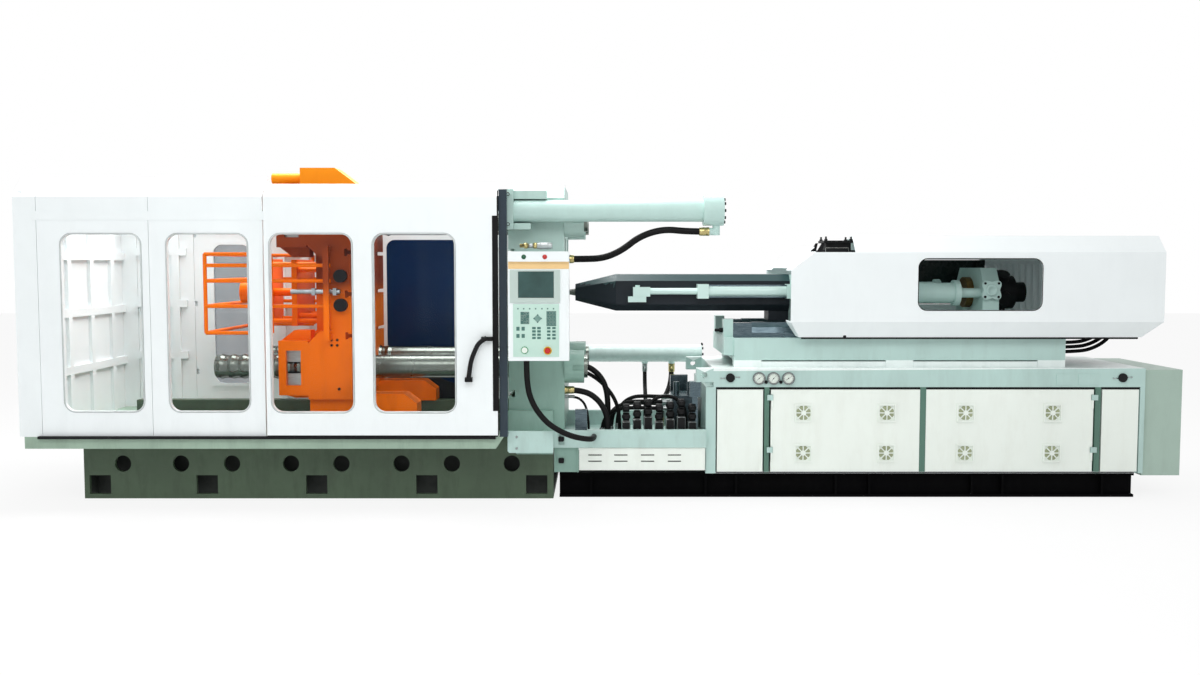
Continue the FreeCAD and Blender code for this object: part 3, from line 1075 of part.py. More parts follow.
# Cabinet frame under the deck: floor, back sheet, end walls, posts between the doors and head rails.
cabinet = Sizes("cabinet", x=[688, 3851], column=[688, 760], front=-525, face=-500, back=[480, 500], floor=12,
                post=[1110, 1145, 2233, 2274, 3494, 3534], end=[3817, 3851], head=780)
bay = (cabinet.column[1], cabinet.end[0])
floor_top = plinth.top + cabinet.floor
frame_pieces = [block(bay, (cabinet.face, cabinet.back[1]), (plinth.top, floor_top)),
                block(bay, cabinet.back, (floor_top, deck.z[0])),
                block(cabinet.column, (cabinet.front, cabinet.back[1]), (plinth.top, deck.z[0])),
                block(cabinet.end, (cabinet.front, cabinet.back[1]), (plinth.top, deck.z[0])),
                block(bay, (cabinet.face, cabinet.face + cabinet.floor), (cabinet.head, deck.z[0]))]
leaf = Sizes("leaf", left=[1157, 2231], right=[2276, 3482], y=[-525, -503], z=[192, 787], hinge=16, hinge_long=60,
             hinge_z=[270, 650], hinge_out=4, column_left=[1392, 1993], column_right=[2561, 3188], row=[327, 619],
             knuckle=40, tab=42, tab_out=537, tab_gap=0.5)


def knuckle(hinge_x, post_x, centre_y, face_y, out_y, levels):
    """A fixed hinge knuckle just above a leaf's barrel, on a tab from the post."""
    span = (post_x, hinge_x) if post_x.value < hinge_x.value else (hinge_x, post_x)
    inner_end = post_x + leaf.hinge if post_x.value < hinge_x.value else post_x - leaf.hinge
    foot_x = (post_x, inner_end) if post_x.value < hinge_x.value else (inner_end, post_x)
    sign = 1 if out_y.value > 0 else -1
    near = face_y + leaf.tab_gap * sign
    tab_y = (near, out_y) if sign > 0 else (out_y, near)
    foot_y = (face_y, near) if sign > 0 else (near, face_y)
    return fuse(rod("z", (hinge_x, centre_y), levels, leaf.hinge), block(span, tab_y, levels),
                block(foot_x, foot_y, levels))


for left, right in zip(cabinet.post[0::2], cabinet.post[1::2]):
    frame_pieces.append(block((left, right), (cabinet.front, cabinet.face), (plinth.top, deck.z[0])))
for level in leaf.hinge_z:
    knuckle_z = (level + leaf.hinge_long + fit.slide, level + leaf.hinge_long + leaf.knuckle)
    for hinge_x, post_x in ((leaf.left[0] + leaf.hinge / 2, cabinet.post[1] - leaf.hinge),
                            (leaf.right[1] - leaf.hinge / 2, cabinet.post[4] + leaf.hinge)):
        frame_pieces.append(knuckle(hinge_x, post_x, leaf.y[0] - leaf.hinge_out, cabinet.front,
                                    -leaf.tab_out, knuckle_z))
node("cabinet_frame", group(*frame_pieces))

# Cabinet doors with four fan grilles each; each door hangs on its outer post.
grille = Sizes("grille", half=65, rim=11, out=14, vane=7, vane_out=9, hub=36, reach=54)


def fan_grille(place, level):
    """A square frame with a hub and eight radial vanes, standing on the door's face."""
    face = leaf.y[0]
    ring = cut(block((place - grille.half, place + grille.half), (face - grille.out, face),
                     (level - grille.half, level + grille.half)),
               block((place - grille.half + grille.rim, place + grille.half - grille.rim),
                     (face - grille.out - over, face + over),
                     (level - grille.half + grille.rim, level + grille.half - grille.rim)))
    parts = [ring, rod("y", (place, level), (face - grille.out, face), grille.hub)]
    for quarter in range(4):
        vane = doc.addObject("Part::Box", "Vane")
        bind(vane, "Length", grille.reach * 2)
        bind(vane, "Width", grille.vane_out)
        bind(vane, "Height", grille.vane)
        turn = math.radians(45 * quarter)
        vane.Placement.Rotation = FreeCAD.Rotation(FreeCAD.Vector(0, -1, 0), 45 * quarter)
        back_x = grille.reach * math.cos(turn) - grille.vane / 2 * math.sin(turn)
        back_z = grille.reach * math.sin(turn) + grille.vane / 2 * math.cos(turn)
        parts.append(move(vane, place - back_x, face - grille.vane_out, level - back_z))
    return parts


def cabinet_door(span, hinge_x, columns):
    """A flat leaf with hinge barrels at one edge and two rows of grilles."""
    notch_x = (hinge_x - leaf.hinge, hinge_x + leaf.hinge / 2 + fit.free)
    if hinge_x.value > columns[0].value:
        notch_x = (hinge_x - leaf.hinge / 2 - fit.free, hinge_x + leaf.hinge)
    notches = []
    for level in leaf.hinge_z:
        notch_low = level + leaf.hinge_long
        notches.append(block(notch_x, (leaf.y[0] - over, leaf.y[1] + over),
                             (notch_low, notch_low + leaf.knuckle + fit.free)))
    parts = [cut(block(span, leaf.y, leaf.z), *notches)]
    for level in leaf.hinge_z:
        parts.append(rod("z", (hinge_x, leaf.y[0] - leaf.hinge_out), (level, level + leaf.hinge_long), leaf.hinge))
    for place in columns:
        for level in leaf.row:
            parts.extend(fan_grille(place, level))
    return fuse(*parts)


node("cabinet_door_left", cabinet_door(leaf.left, leaf.left[0] + leaf.hinge / 2, leaf.column_left))
node("cabinet_door_right", cabinet_door(leaf.right, leaf.right[1] - leaf.hinge / 2, leaf.column_right))

# Fixed panels either side of the doors, and the louvred panel under the beam.
fill = Sizes("fill", left=[770, 1100], right=[3544, 3807], z=[192, 787], y=[-525, -500], louvre=[-225, 681],
             louvre_z=[206, 373], louvre_y=[-562, -550], slot_x=[-111, 75, 268, 461], slot_z=[268, 313],
             slot_half=48, slot_high=9, hood_out=8)
louvre_body = block(fill.louvre, fill.louvre_y, fill.louvre_z)
louvre_cutters = []
for place in fill.slot_x:
    for level in fill.slot_z:
        louvre_cutters.append(block((place - fill.slot_half, place + fill.slot_half),
                                    (fill.louvre_y[0] - over, fill.louvre_y[1] + over),
                                    (level, level + fill.slot_high)))
node("base_panels", group(block(fill.left, fill.y, fill.z), block(fill.right, fill.y, fill.z),
                          cut(louvre_body, *louvre_cutters)))

# End box on the injection end of the cabinet.
end_box = Sizes("end_box", left=3851, half=500, z=[159, 928], sheet=6, seam=520)
end_inner_z = (end_box.z[0] + end_box.sheet, end_box.z[1] - end_box.sheet)
end_sheets = [block((whole_right - end_box.sheet, whole_right), (-end_box.half, end_box.half), end_box.z)]
end_span = (end_box.left, whole_right - end_box.sheet)
for side_y in both(end_box.half - end_box.sheet, end_box.half):
    end_sheets.append(block(end_span, side_y, end_box.z))
for levels in ((end_box.z[0], end_inner_z[0]), (end_inner_z[1], end_box.z[1])):
    end_sheets.append(block(end_span, (end_box.sheet - end_box.half, end_box.half - end_box.sheet), levels))
node("end_box", group(*end_sheets))

# Gap beam and drip tray between the clamp bed and the cabinet, with an upright at the far side.
gap = Sizes("gap", x=[-411, 688], y=[525, 575], z=[373, 500], tray=10, notch=[-372, -330], notch_z=[395, 470],
            notch_deep=12, clear_x=[-620, 688])
tray = block(gap.x, (-gap.y[0], gap.y[0]), (gap.z[0], gap.z[0] + gap.tray))
beam_front, beam_rear = (block(gap.x, beam_y, gap.z) for beam_y in both(gap.y[0], gap.y[1]))
gap_notch = block(gap.notch, (-gap.y[1] - over, gap.notch_deep - gap.y[1]), gap.notch_z)
node("gap_beam", group(tray, cut(beam_front, gap_notch), beam_rear))

# Hydraulic manifold, valves and junction box standing on the tray and the beam.
oil = Sizes("oil", block=[470, 660], half=160, block_top=700, valve=[576, 655], valve_y=[-480, -400],
            valve_z=[728, 838], stem=[595, 635], stem_y=[-460, -420], rear=[490, 628], rear_y=[400, 470],
            rear_top=802, box=[-253, -168], box_y=[-573, -527], box_top=648, coil=46, coil_x=[510, 615],
            coil_top=790)
tray_top = gap.z[0] + gap.tray
manifold = fuse(block(oil.block, (-oil.half, oil.half), (tray_top, oil.block_top)),
                *(rod("z", (place, 0), (oil.block_top, oil.coil_top), oil.coil) for place in oil.coil_x))
valve_stand = fuse(block(oil.valve, oil.valve_y, oil.valve_z), block(oil.stem, oil.stem_y, (tray_top, oil.valve_z[0])))
node("hydraulic_manifold", group(manifold, valve_stand, block(oil.rear, oil.rear_y, (tray_top, oil.rear_top)),
                                 block(oil.box, oil.box_y, (gap.z[1], oil.box_top))))

# Control box on an arm from the fixed platen, stepped and hooded at the top.
panel = Sizes("panel", x=[-703, -287], y=[-900, -750], z=[1027, 1656], strip_y=-884, strip_top=1706, hood_y=-912,
              hood_top=1775, arm=[-560, -430], arm_z=[1250, 1400], pocket=10, bezel=[-690, -348],
              bezel_z=[1426, 1649], bezel_out=8, screen=[-635, -389], screen_z=[1458, 1640], screen_deep=5,
              keys=[-669, -355], keys_z=[1055, 1417], keys_out=6)
button = Sizes("button", start_x=-591, start_z=1101, start=40, start_out=916, stop_x=-433, stop_z=1098, stop=40,
               stem=24, stop_out=927, stop_neck=912, seat=51, inner=895, clear=1)
box_body = fuse(block(panel.x, panel.y, panel.z),
                block(panel.x, (panel.strip_y, panel.y[1]), (panel.z[1], panel.strip_top)),
                block(panel.x, (panel.hood_y, panel.y[1]), (panel.strip_top, panel.hood_top)),
                block(panel.arm, (panel.y[1], -fixed.half), panel.arm_z))
pocket_y = (panel.y[0] - panel.keys_out - over, panel.y[0] + panel.pocket)
start_hole = rod("y", (button.start_x, button.start_z), pocket_y, button.start + button.clear)
stop_hole = rod("y", (button.stop_x, button.stop_z), pocket_y, button.stem + button.clear)
node("control_box", cut(box_body, start_hole, stop_hole))
bezel = cut(block(panel.bezel, (panel.y[0] - panel.bezel_out, panel.y[0]), panel.bezel_z),
            block(panel.screen, (panel.y[0] - panel.bezel_out - over, panel.y[0] - panel.bezel_out + panel.screen_deep),
                  panel.screen_z))
keypad = cut(block(panel.keys, (panel.y[0] - panel.keys_out, panel.y[0]), panel.keys_z), start_hole, stop_hole)
node("control_faceplates", group(bezel, keypad))
node("start_button", rod("y", (button.start_x, button.start_z), (-button.start_out, -button.inner), button.start))
node("stop_button", fuse(rod("y", (button.stop_x, button.stop_z), (-button.stop_out, -button.stop_neck), button.stop),
                         rod("y", (button.stop_x, button.stop_z), (-button.stop_neck, -button.inner), button.stem)))

# Hoses: the stroke hose, the control box conduit and the hoses of the gap between the two units.
node("stroke_hose", tube("stroke_hose", [(690, -660, 1917), (540, -660, 1917), (370, -655, 1935),
                                         (205, -640, 1885), (80, -615, 1785), (-50, -575, 1730),
                                         (-200, -500, 1725), (-330, -500, 1725)], 47))
node("panel_conduit", tube("conduit", [(-582, -850, 1027), (-582, -850, 850), (-538, -850, 715),
                                       (-455, -850, 603), (-365, -850, 540), (-270, -848, 497),
                                       (-176, -792, 470), (-118, -691, 455), (-118, -575, 455)], 40))
hoses = [tube("hose_a", [(-330, -230, 905), (-230, -230, 905), (-120, -232, 856), (-20, -236, 770),
                         (50, -240, 660), (74, -240, 530), (74, -240, 383)], 29),
         tube("hose_b", [(-330, -270, 950), (-200, -270, 950), (-89, -273, 885), (-24, -278, 774),
                         (-14, -282, 590), (-14, -282, 383)], 43),
         tube("hose_c", [(-330, -480, 780), (-200, -480, 780), (-89, -480, 715), (-24, -480, 604),
                         (-20, -480, 495), (-20, -480, 383)], 43),
         tube("hose_d", [(-330, -380, 720), (-255, -380, 720), (-204, -380, 690), (-175, -380, 640),
                         (-160, -380, 550), (-157, -380, 465), (-157, -380, 383)], 18),
         tube("hose_e", [(294, 660, 872), (294, 660, 774), (294, 615, 691), (294, 535, 639), (294, 490, 556),
                         (294, 490, 383)], 33),
         tube("hose_f", [(515, 660, 872), (515, 660, 762), (489, 612, 661), (444, 528, 597), (418, 480, 496),
                         (418, 480, 383)], 41),
         tube("hose_g", [(259, -345, 383), (259, -345, 500), (263, -345, 613), (302, -345, 681),
                         (370, -346, 720), (448, -347, 720), (516, -348, 681), (555, -348, 613),
                         (558, -348, 500), (558, -348, 383)], 26),
         tube("hose_h", [(-60, -122, 383), (-60, -122, 477), (-15, -122, 555), (63, -122, 600),
                         (200, -128, 606), (340, -122, 600), (470, -122, 600)], 30),
         tube("hose_i", [(10, -42, 383), (10, -42, 517), (55, -42, 595), (133, -42, 640), (240, -48, 645),
                         (355, -42, 640), (470, -42, 640)], 30),
         tube("hose_j", [(-20, 47, 383), (-20, 47, 492), (25, 47, 570), (103, 47, 615), (220, 52, 621),
                         (345, 47, 615), (470, 47, 615)], 30),
         tube("hose_k", [(60, 127, 383), (60, 127, 537), (105, 127, 615), (183, 127, 660), (280, 131, 664),
                         (375, 127, 660), (470, 127, 660)], 30)]
node("hydraulic_hoses", group(*hoses))

# Hoses from the end of the carriage plate down to the hose block under it.
carriage_loops = [tube("loop_a", [(3400, -260, 1283.15), (3620, -260, 1283.15), (3717, -217, 1247),
                                  (3773, -143, 1185), (3773, -57, 1113), (3717, 17, 1051),
                                  (3620, 60, 1015), (3390, 60, 1015)], 28),
                  tube("loop_b", [(3400, -205, 1283.15), (3620, -205, 1283.15), (3710, -163, 1252),
                                  (3763, -92, 1197), (3763, -8, 1133), (3710, 63, 1079),
                                  (3620, 105, 1047), (3390, 105, 1047)], 28),
                  tube("loop_c", [(3400, -150, 1283.15), (3620, -150, 1283.15), (3704, -110, 1256),
                                  (3753, -40, 1208), (3753, 40, 1154), (3704, 110, 1106),
                                  (3620, 150, 1079), (3390, 150, 1079)], 28)]
node("carriage_hoses", group(*carriage_loops))

doc.recompute()
faults = []
for thing in doc.Objects:
    if "Invalid" in thing.State or "Error" in thing.State:
        faults.append(f"{thing.Label} did not compute")
for piece in nodes:
    if piece.Shape.isNull() or not piece.Shape.isValid():
        faults.append(f"{piece.Label} has no valid shape")
if faults:
    raise RuntimeError("; ".join(faults))
for piece in nodes:
    piece.Shape.exportStep(f"parts/{piece.Label}.step")
print(f"{len(nodes)} parts written")
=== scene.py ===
import bpy
import bmesh
import math
from mathutils import Matrix, Vector


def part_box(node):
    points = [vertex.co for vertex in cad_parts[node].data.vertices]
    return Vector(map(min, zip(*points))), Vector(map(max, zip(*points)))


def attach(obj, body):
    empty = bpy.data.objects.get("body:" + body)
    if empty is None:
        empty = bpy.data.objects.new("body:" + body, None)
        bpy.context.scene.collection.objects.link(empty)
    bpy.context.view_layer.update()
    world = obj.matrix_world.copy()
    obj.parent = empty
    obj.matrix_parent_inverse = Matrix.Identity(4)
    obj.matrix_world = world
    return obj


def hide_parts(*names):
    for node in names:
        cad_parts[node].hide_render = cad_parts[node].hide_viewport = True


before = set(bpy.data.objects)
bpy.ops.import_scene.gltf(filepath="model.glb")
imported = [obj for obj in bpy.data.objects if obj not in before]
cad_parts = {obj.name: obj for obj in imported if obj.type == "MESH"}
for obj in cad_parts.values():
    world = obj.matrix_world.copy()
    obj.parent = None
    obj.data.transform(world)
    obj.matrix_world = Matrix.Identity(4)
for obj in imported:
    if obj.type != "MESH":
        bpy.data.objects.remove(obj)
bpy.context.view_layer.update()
print("frame loaded,", len(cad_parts), "nodes")


def putInScene(name, data):
    made = bpy.data.objects.new(name, data)
    bpy.context.scene.collection.objects.link(made)
    return made


# camera first: the machine is seen square on, with the lens a little above the guard's middle
cameraSettings = {
    "place": (-0.075, -8.585, 1.69),
    "downTilt": 3.74,       # degrees
    "focalPixels": 1125,
    "imageWidth": 1200,     # pixels
    "sensor": 36.0,
    "farthest": 60,
}


def setCamera(given):
    data = bpy.data.cameras.new("photo camera")
    data.sensor_width = given["sensor"]
    data.lens = given["sensor"] * given["focalPixels"] / given["imageWidth"]
    data.clip_end = given["farthest"]
    camera = putInScene("photo camera", data)
    camera.location = given["place"]
    camera.rotation_euler = (math.radians(90 - given["downTilt"]), 0, 0)
    bpy.context.scene.camera = camera


setCamera(cameraSettings)


# colour helpers: colours are written as they look on screen, 0 to 255
def toLinear(value):
    value = value / 255
    return value / 12.92 if value <= 0.04045 else ((value + 0.055) / 1.055) ** 2.4


def tint(colour, factor=1.0):
    return tuple(min(1.0, toLinear(c) * factor) for c in colour) + (1.0,)


def blankFinish(name):
    material = bpy.data.materials.new(name)
    material.use_nodes = True
    shader = material.node_tree.nodes["Principled BSDF"]
    return material, material.node_tree, shader


def feed(tree, node, values):   # by input: a constant, or the output that feeds it
    for socket, value in values.items():
        if isinstance(value, bpy.types.NodeSocket):
            tree.links.new(value, node.inputs[socket])
        else:
            node.inputs[socket].default_value = value
    return node


def addNode(tree, kind, values):
    return feed(tree, tree.nodes.new("ShaderNode" + kind), values)


def noiseOf(tree, scale, detail=3.0, roughness=0.55, stretch=(1, 1, 1)):
    where = addNode(tree, "TexCoord", {})
    mapping = addNode(tree, "Mapping", {"Scale": stretch, "Vector": where.outputs["Object"]})
    values = {"Scale": scale, "Detail": detail, "Roughness": roughness, "Vector": mapping.outputs["Vector"]}
    return addNode(tree, "TexNoise", values).outputs["Fac"]


def spread(tree, value, low, high, fromLow=0.3, fromHigh=0.7):
    values = {"From Min": fromLow, "From Max": fromHigh, "To Min": low, "To Max": high, "Value": value}
    return addNode(tree, "MapRange", values).outputs["Result"]


def mixColours(tree, amount, first, second):
    mix = tree.nodes.new("ShaderNodeMix")
    mix.data_type = "RGBA"
    return feed(tree, mix, {0: amount, 6: first, 7: second}).outputs[2]


def cloudOf(tree, noise, first, second):
    return mixColours(tree, spread(tree, noise, 0.0, 1.0), first, second)


def bumpOf(tree, height, strength, distance):
    values = {"Strength": strength, "Distance": distance, "Height": height}
    return addNode(tree, "Bump", values).outputs["Normal"]


def heightAbove(tree, low, high):   # 1 at low and below, 0 at high and above
    place = addNode(tree, "TexCoord", {})
    split = addNode(tree, "SeparateXYZ", {"Vector": place.outputs["Object"]})
    return spread(tree, split.outputs["Z"], 1.0, 0.0, low, high)


def mathOf(tree, operation, first, second):
    node = tree.nodes.new("ShaderNodeMath")
    node.operation = operation
    return feed(tree, node, {0: first, 1: second}).outputs["Value"]


def seenBy(tree, kinds):   # 1 for rays of these kinds, 0 for all others
    rays = addNode(tree, "LightPath", {})
    seen = rays.outputs[kinds[0]]
    for kind in kinds[1:]:
        seen = mathOf(tree, "MAXIMUM", seen, rays.outputs[kind])
    return seen


# enamel and powder coats, with light soiling that gathers low down and an orange-peel skin:
# colour, roughness, soil, soil amount, peel, drift; some also shine, and a painted-shade coat for above with
# the band between
paintSettings = {
    "lightEnamel": ((180, 208, 202), (0.34, 0.46), (120, 128, 120), 0.3, 0.1, 0.06),
    # painted shade: the bed's enamel is coloured far darker than the rest, for the shade under the guard's
    # ledge
    "bedEnamel": ((74, 92, 72), (0.42, 0.6), (44, 54, 42), 0.5, 0.35, 0.12),
    "ledgeEnamel": ((150, 174, 156), (0.38, 0.52), (92, 108, 94), 0.4, 0.2, 0.08),
    # painted shade: a darker copy of the enamel for the recessed posts between the cabinet doors
    "postShade": ((84, 120, 106), (0.4, 0.5), (56, 74, 66), 0.4, 0.12, 0.08),
    # painted highlight: a lighter copy of the light enamel for top faces, where the light falls
    "deckTop": ((238, 247, 245), (0.3, 0.42), (150, 166, 160), 0.3, 0.08, 0.05),
    # painted highlight: lighter teal for the barrel guard's top faces, where the light falls
    "hoodTeal": ((44, 68, 70), (0.34, 0.46), (48, 60, 62), 0.35, 0.1, 0.12),
    "whiteCoat": ((236, 242, 243), (0.3, 0.4), (190, 196, 196), 0.16, 0.06, 0.02),
    "creamCoat": ((236, 243, 236), (0.34, 0.45), (196, 196, 182), 0.2, 0.08, 0.03),
    "orangeEnamel": ((252, 118, 2), (0.28, 0.42), (150, 62, 14), 0.35, 0.16, 0.09, 0.14),
    # painted shade: brown above z 1.4 to 1.56 for the shade on the moving platen's top
    "platenEnamel": ((250, 116, 4), (0.3, 0.46), (120, 50, 14), 0.45, 0.2, 0.1, 0.14, (146, 60, 22),
        (1.4, 1.56)),
    "cylinderGloss": ((200, 226, 220), (0.12, 0.2), (150, 170, 164), 0.2, 0.03, 0.04, 0.7),
    # painted highlight: a lighter copy of the light enamel for the lower stroke cylinder, which sits in
    # shade
    "lowerCylinderEnamel": ((226, 246, 242), (0.24, 0.34), (160, 178, 172), 0.3, 0.08, 0.05),
    # painted shade: darker teal below z 1.0 to 1.2 for the shade under the control box, lit colour above
    "platenTeal": ((136, 170, 158), (0.34, 0.46), (90, 110, 100), 0.4, 0.12, 0.09, 0.42, (178, 205, 198),
        (1.0, 1.2)),
    "amberEnamel": ((255, 150, 20), (0.34, 0.46), (196, 96, 10), 0.3, 0.12, 0.07, 0.14),
    "postGloss": ((40, 52, 62), (0.16, 0.26), (84, 96, 102), 0.3, 0.04, 0.2, 0.3),
    "plinthBlack": ((4, 4, 5), (0.6, 0.75), (12, 13, 13), 0.35, 0.15, 0.2, 0.04),
    "paneDark": ((26, 36, 34), (0.2, 0.34), (50, 60, 56), 0.4, 0.05, 0.3, 0.2),
    # painted shade: near black for the faces inside the bed's hollow girder
    "darkInside": ((30, 36, 32), (0.5, 0.7), (18, 20, 18), 0.5, 0.3, 0.15),
    "blackPaint": ((14, 15, 17), (0.5, 0.66), (40, 42, 42), 0.3, 0.15, 0.2, 0.22),
    "charcoalCoat": ((24, 31, 38), (0.42, 0.56), (52, 60, 62), 0.3, 0.12, 0.15, 0.25),
    "bezelGrey": ((184, 200, 194), (0.34, 0.44), (150, 164, 158), 0.15, 0.05, 0.03),
    "boxGrey": ((166, 188, 176), (0.34, 0.46), (120, 128, 122), 0.25, 0.08, 0.05),
    "stripBeige": ((240, 204, 146), (0.3, 0.4), (206, 164, 112), 0.2, 0.05, 0.03),
}
paintGrain = {"cloud": 1.7, "streak": 9.0, "streakStretch": (1.0, 1.0, 0.22), "sheen": 26.0, "skin": 420.0,
              "skinDepth": 0.0006, "patches": (0.48, 0.78), "soilHeight": (0.1, 1.5), "cleanShare": 0.35}


def paintFinish(name, colour, rough, soil, soilAmount, peel, drift, shine=0.42, aboveShadeSplit=None, shadeSplitBand=(0, 1)):
    grain = paintGrain
    material, tree, shader = blankFinish(name)
    cloud = noiseOf(tree, grain["cloud"], 4.0)
    base = cloudOf(tree, cloud, tint(colour, 1 - drift), tint(colour, 1 + drift))
    if aboveShadeSplit:   # painted shade: a second coat above the band, darker than the base on the moving platen's shaded top, lighter than the fixed platen's shaded lower part
        base = mixColours(tree, heightAbove(tree, *shadeSplitBand), tint(aboveShadeSplit), base)
    streaks = noiseOf(tree, grain["streak"], 6.0, 0.7, grain["streakStretch"])
    patches = spread(tree, streaks, 0.0, soilAmount, *grain["patches"])
    low = spread(tree, heightAbove(tree, *grain["soilHeight"]), grain["cleanShare"], 1.0, 0.0, 1.0)
    feed(tree, shader, {
        "Base Color": mixColours(tree, mathOf(tree, "MULTIPLY", patches, low), base, tint(soil)),
        "Roughness": spread(tree, noiseOf(tree, grain["sheen"]), *rough),
        "Normal": bumpOf(tree, noiseOf(tree, grain["skin"], 2.0), peel, grain["skinDepth"]),
        "Specular IOR Level": shine})
    return material


# bare metals: colour, dark, roughness, the stretch of turned, ground or brushed marks, and their depth
metalSettings = {
    "barChrome": ((206, 210, 212), (150, 156, 160), (0.1, 0.22), (30, 1.5, 1.5), 0.05),
    "tieBarSteel": ((132, 138, 132), (86, 94, 88), (0.2, 0.34), (24, 1.5, 1.5), 0.08),
    "bareSteel": ((182, 188, 188), (148, 154, 154), (0.26, 0.42), (1.5, 16, 16), 0.12),
    "railSteel": ((112, 128, 134), (66, 80, 88), (0.2, 0.32), (1.2, 18, 18), 0.05),
    "postAluminium": ((180, 190, 194), (142, 150, 154), (0.3, 0.42), (22, 22, 0.6), 0.1),
    "dullBronze": ((150, 116, 70), (92, 70, 42), (0.34, 0.52), (2, 14, 14), 0.1),
    "barrelSteel": ((150, 150, 148), (96, 92, 86), (0.32, 0.5), (1.5, 20, 20), 0.14),
    "brass": ((214, 200, 146), (150, 136, 84), (0.22, 0.36), (4, 14, 14), 0.06),
}
metalGrain = {"marks": 14.0, "stain": 3.0, "stainShare": 0.35, "stainFrom": (0.45, 0.75), "depth": 0.0004}


def metalFinish(name, colour, dark, rough, stretch, marks):
    material, tree, shader = blankFinish(name)
    grain = noiseOf(tree, metalGrain["marks"], 5.0, 0.6, stretch)
    stain = noiseOf(tree, metalGrain["stain"], 4.0)
    base = cloudOf(tree, grain, tint(dark), tint(colour))
    film = spread(tree, stain, 0.0, metalGrain["stainShare"], *metalGrain["stainFrom"])
    feed(tree, shader, {
        "Base Color": mixColours(tree, film, base, tint(dark)), "Roughness": spread(tree, stain, *rough),
        "Normal": bumpOf(tree, grain, marks, metalGrain["depth"]), "Metallic": 1.0})
    return material


# moulded plastics and rubber: colour, dark, roughness, grain and its bump; some also shine
plasticSettings = {
    "hoseRubber": ((15, 15, 16), (7, 7, 8), (0.46, 0.6), 240.0, 0.25, 0.16),
    "gasketGrey": ((206, 212, 212), (178, 184, 184), (0.5, 0.62), 160.0, 0.2),
    "keypadFilm": ((192, 221, 209), (182, 213, 201), (0.42, 0.5), 90.0, 0.05),
    "keyWhite": ((232, 240, 232), (210, 222, 212), (0.2, 0.3), 60.0, 0.04),
    "keyTeal": ((72, 116, 108), (54, 96, 90), (0.36, 0.46), 90.0, 0.05),
    "keyMark": ((122, 158, 148), (104, 140, 132), (0.4, 0.5), 90.0, 0.05),
    "screenGlass": ((50, 84, 82), (34, 66, 62), (0.1, 0.2), 30.0, 0.02),
    "lampGreen": ((24, 96, 62), (16, 74, 48), (0.12, 0.2), 40.0, 0.03),
    # painted shade: olive for the shaded openings behind the grille vanes
    "grilleDark": ((170, 178, 146), (142, 150, 118), (0.6, 0.7), 120.0, 0.1),
    "keyGreen": ((34, 158, 96), (24, 128, 76), (0.2, 0.3), 60.0, 0.04),
    "keyRed": ((206, 36, 26), (168, 26, 20), (0.2, 0.3), 60.0, 0.04),
    "keyYellow": ((238, 196, 40), (214, 170, 30), (0.3, 0.4), 60.0, 0.04),
    "blackPlastic": ((18, 19, 21), (9, 9, 10), (0.38, 0.5), 260.0, 0.3, 0.2),
    "tagWhite": ((240, 240, 236), (222, 222, 216), (0.4, 0.5), 50.0, 0.03),
}
plasticGrain = {"cloud": 6.0, "sheen": 18.0, "depth": 0.0005}


def plasticFinish(name, colour, dark, rough, scale, bump, shine=0.5):
    material, tree, shader = blankFinish(name)
    feed(tree, shader, {
        "Base Color": cloudOf(tree, noiseOf(tree, plasticGrain["cloud"], 4.0), tint(dark), tint(colour)),
        "Roughness": spread(tree, noiseOf(tree, plasticGrain["sheen"]), *rough),
        "Normal": bumpOf(tree, noiseOf(tree, scale, 2.0), bump, plasticGrain["depth"]),
        "Specular IOR Level": shine})
    return material


# window sheets, thin see-through plastic with faint smears: colour, and how much of it is seen
paneSettings = {
    "clearPane": ((86, 98, 106), (0.015, 0.04)),
    "smokePane": ((96, 112, 122), (0.42, 0.52)),
    "bluePane": ((3, 34, 72), (0.95, 0.98)),
}
paneGrain = {"smear": 2.4, "sheen": 12.0, "rough": (0.04, 0.1), "ior": 1.45, "shine": 0.12}


def paneFinish(name, colour, see):
    material, tree, shader = blankFinish(name)
    smear = noiseOf(tree, paneGrain["smear"], 5.0, 0.6)
    feed(tree, shader, {
        "Base Color": cloudOf(tree, smear, tint(colour, 0.92), tint(colour, 1.06)),
        "Alpha": spread(tree, smear, *see),
        "Roughness": spread(tree, noiseOf(tree, paneGrain["sheen"]), *paneGrain["rough"]),
        "IOR": paneGrain["ior"], "Specular IOR Level": paneGrain["shine"]})
    return material


finishes = {}
for group, maker in ((paintSettings, paintFinish), (metalSettings, metalFinish),
                     (plasticSettings, plasticFinish), (paneSettings, paneFinish)):
    for name, values in group.items():
        finishes[name] = maker(name, *values)
print("finishes mixed:", len(finishes))


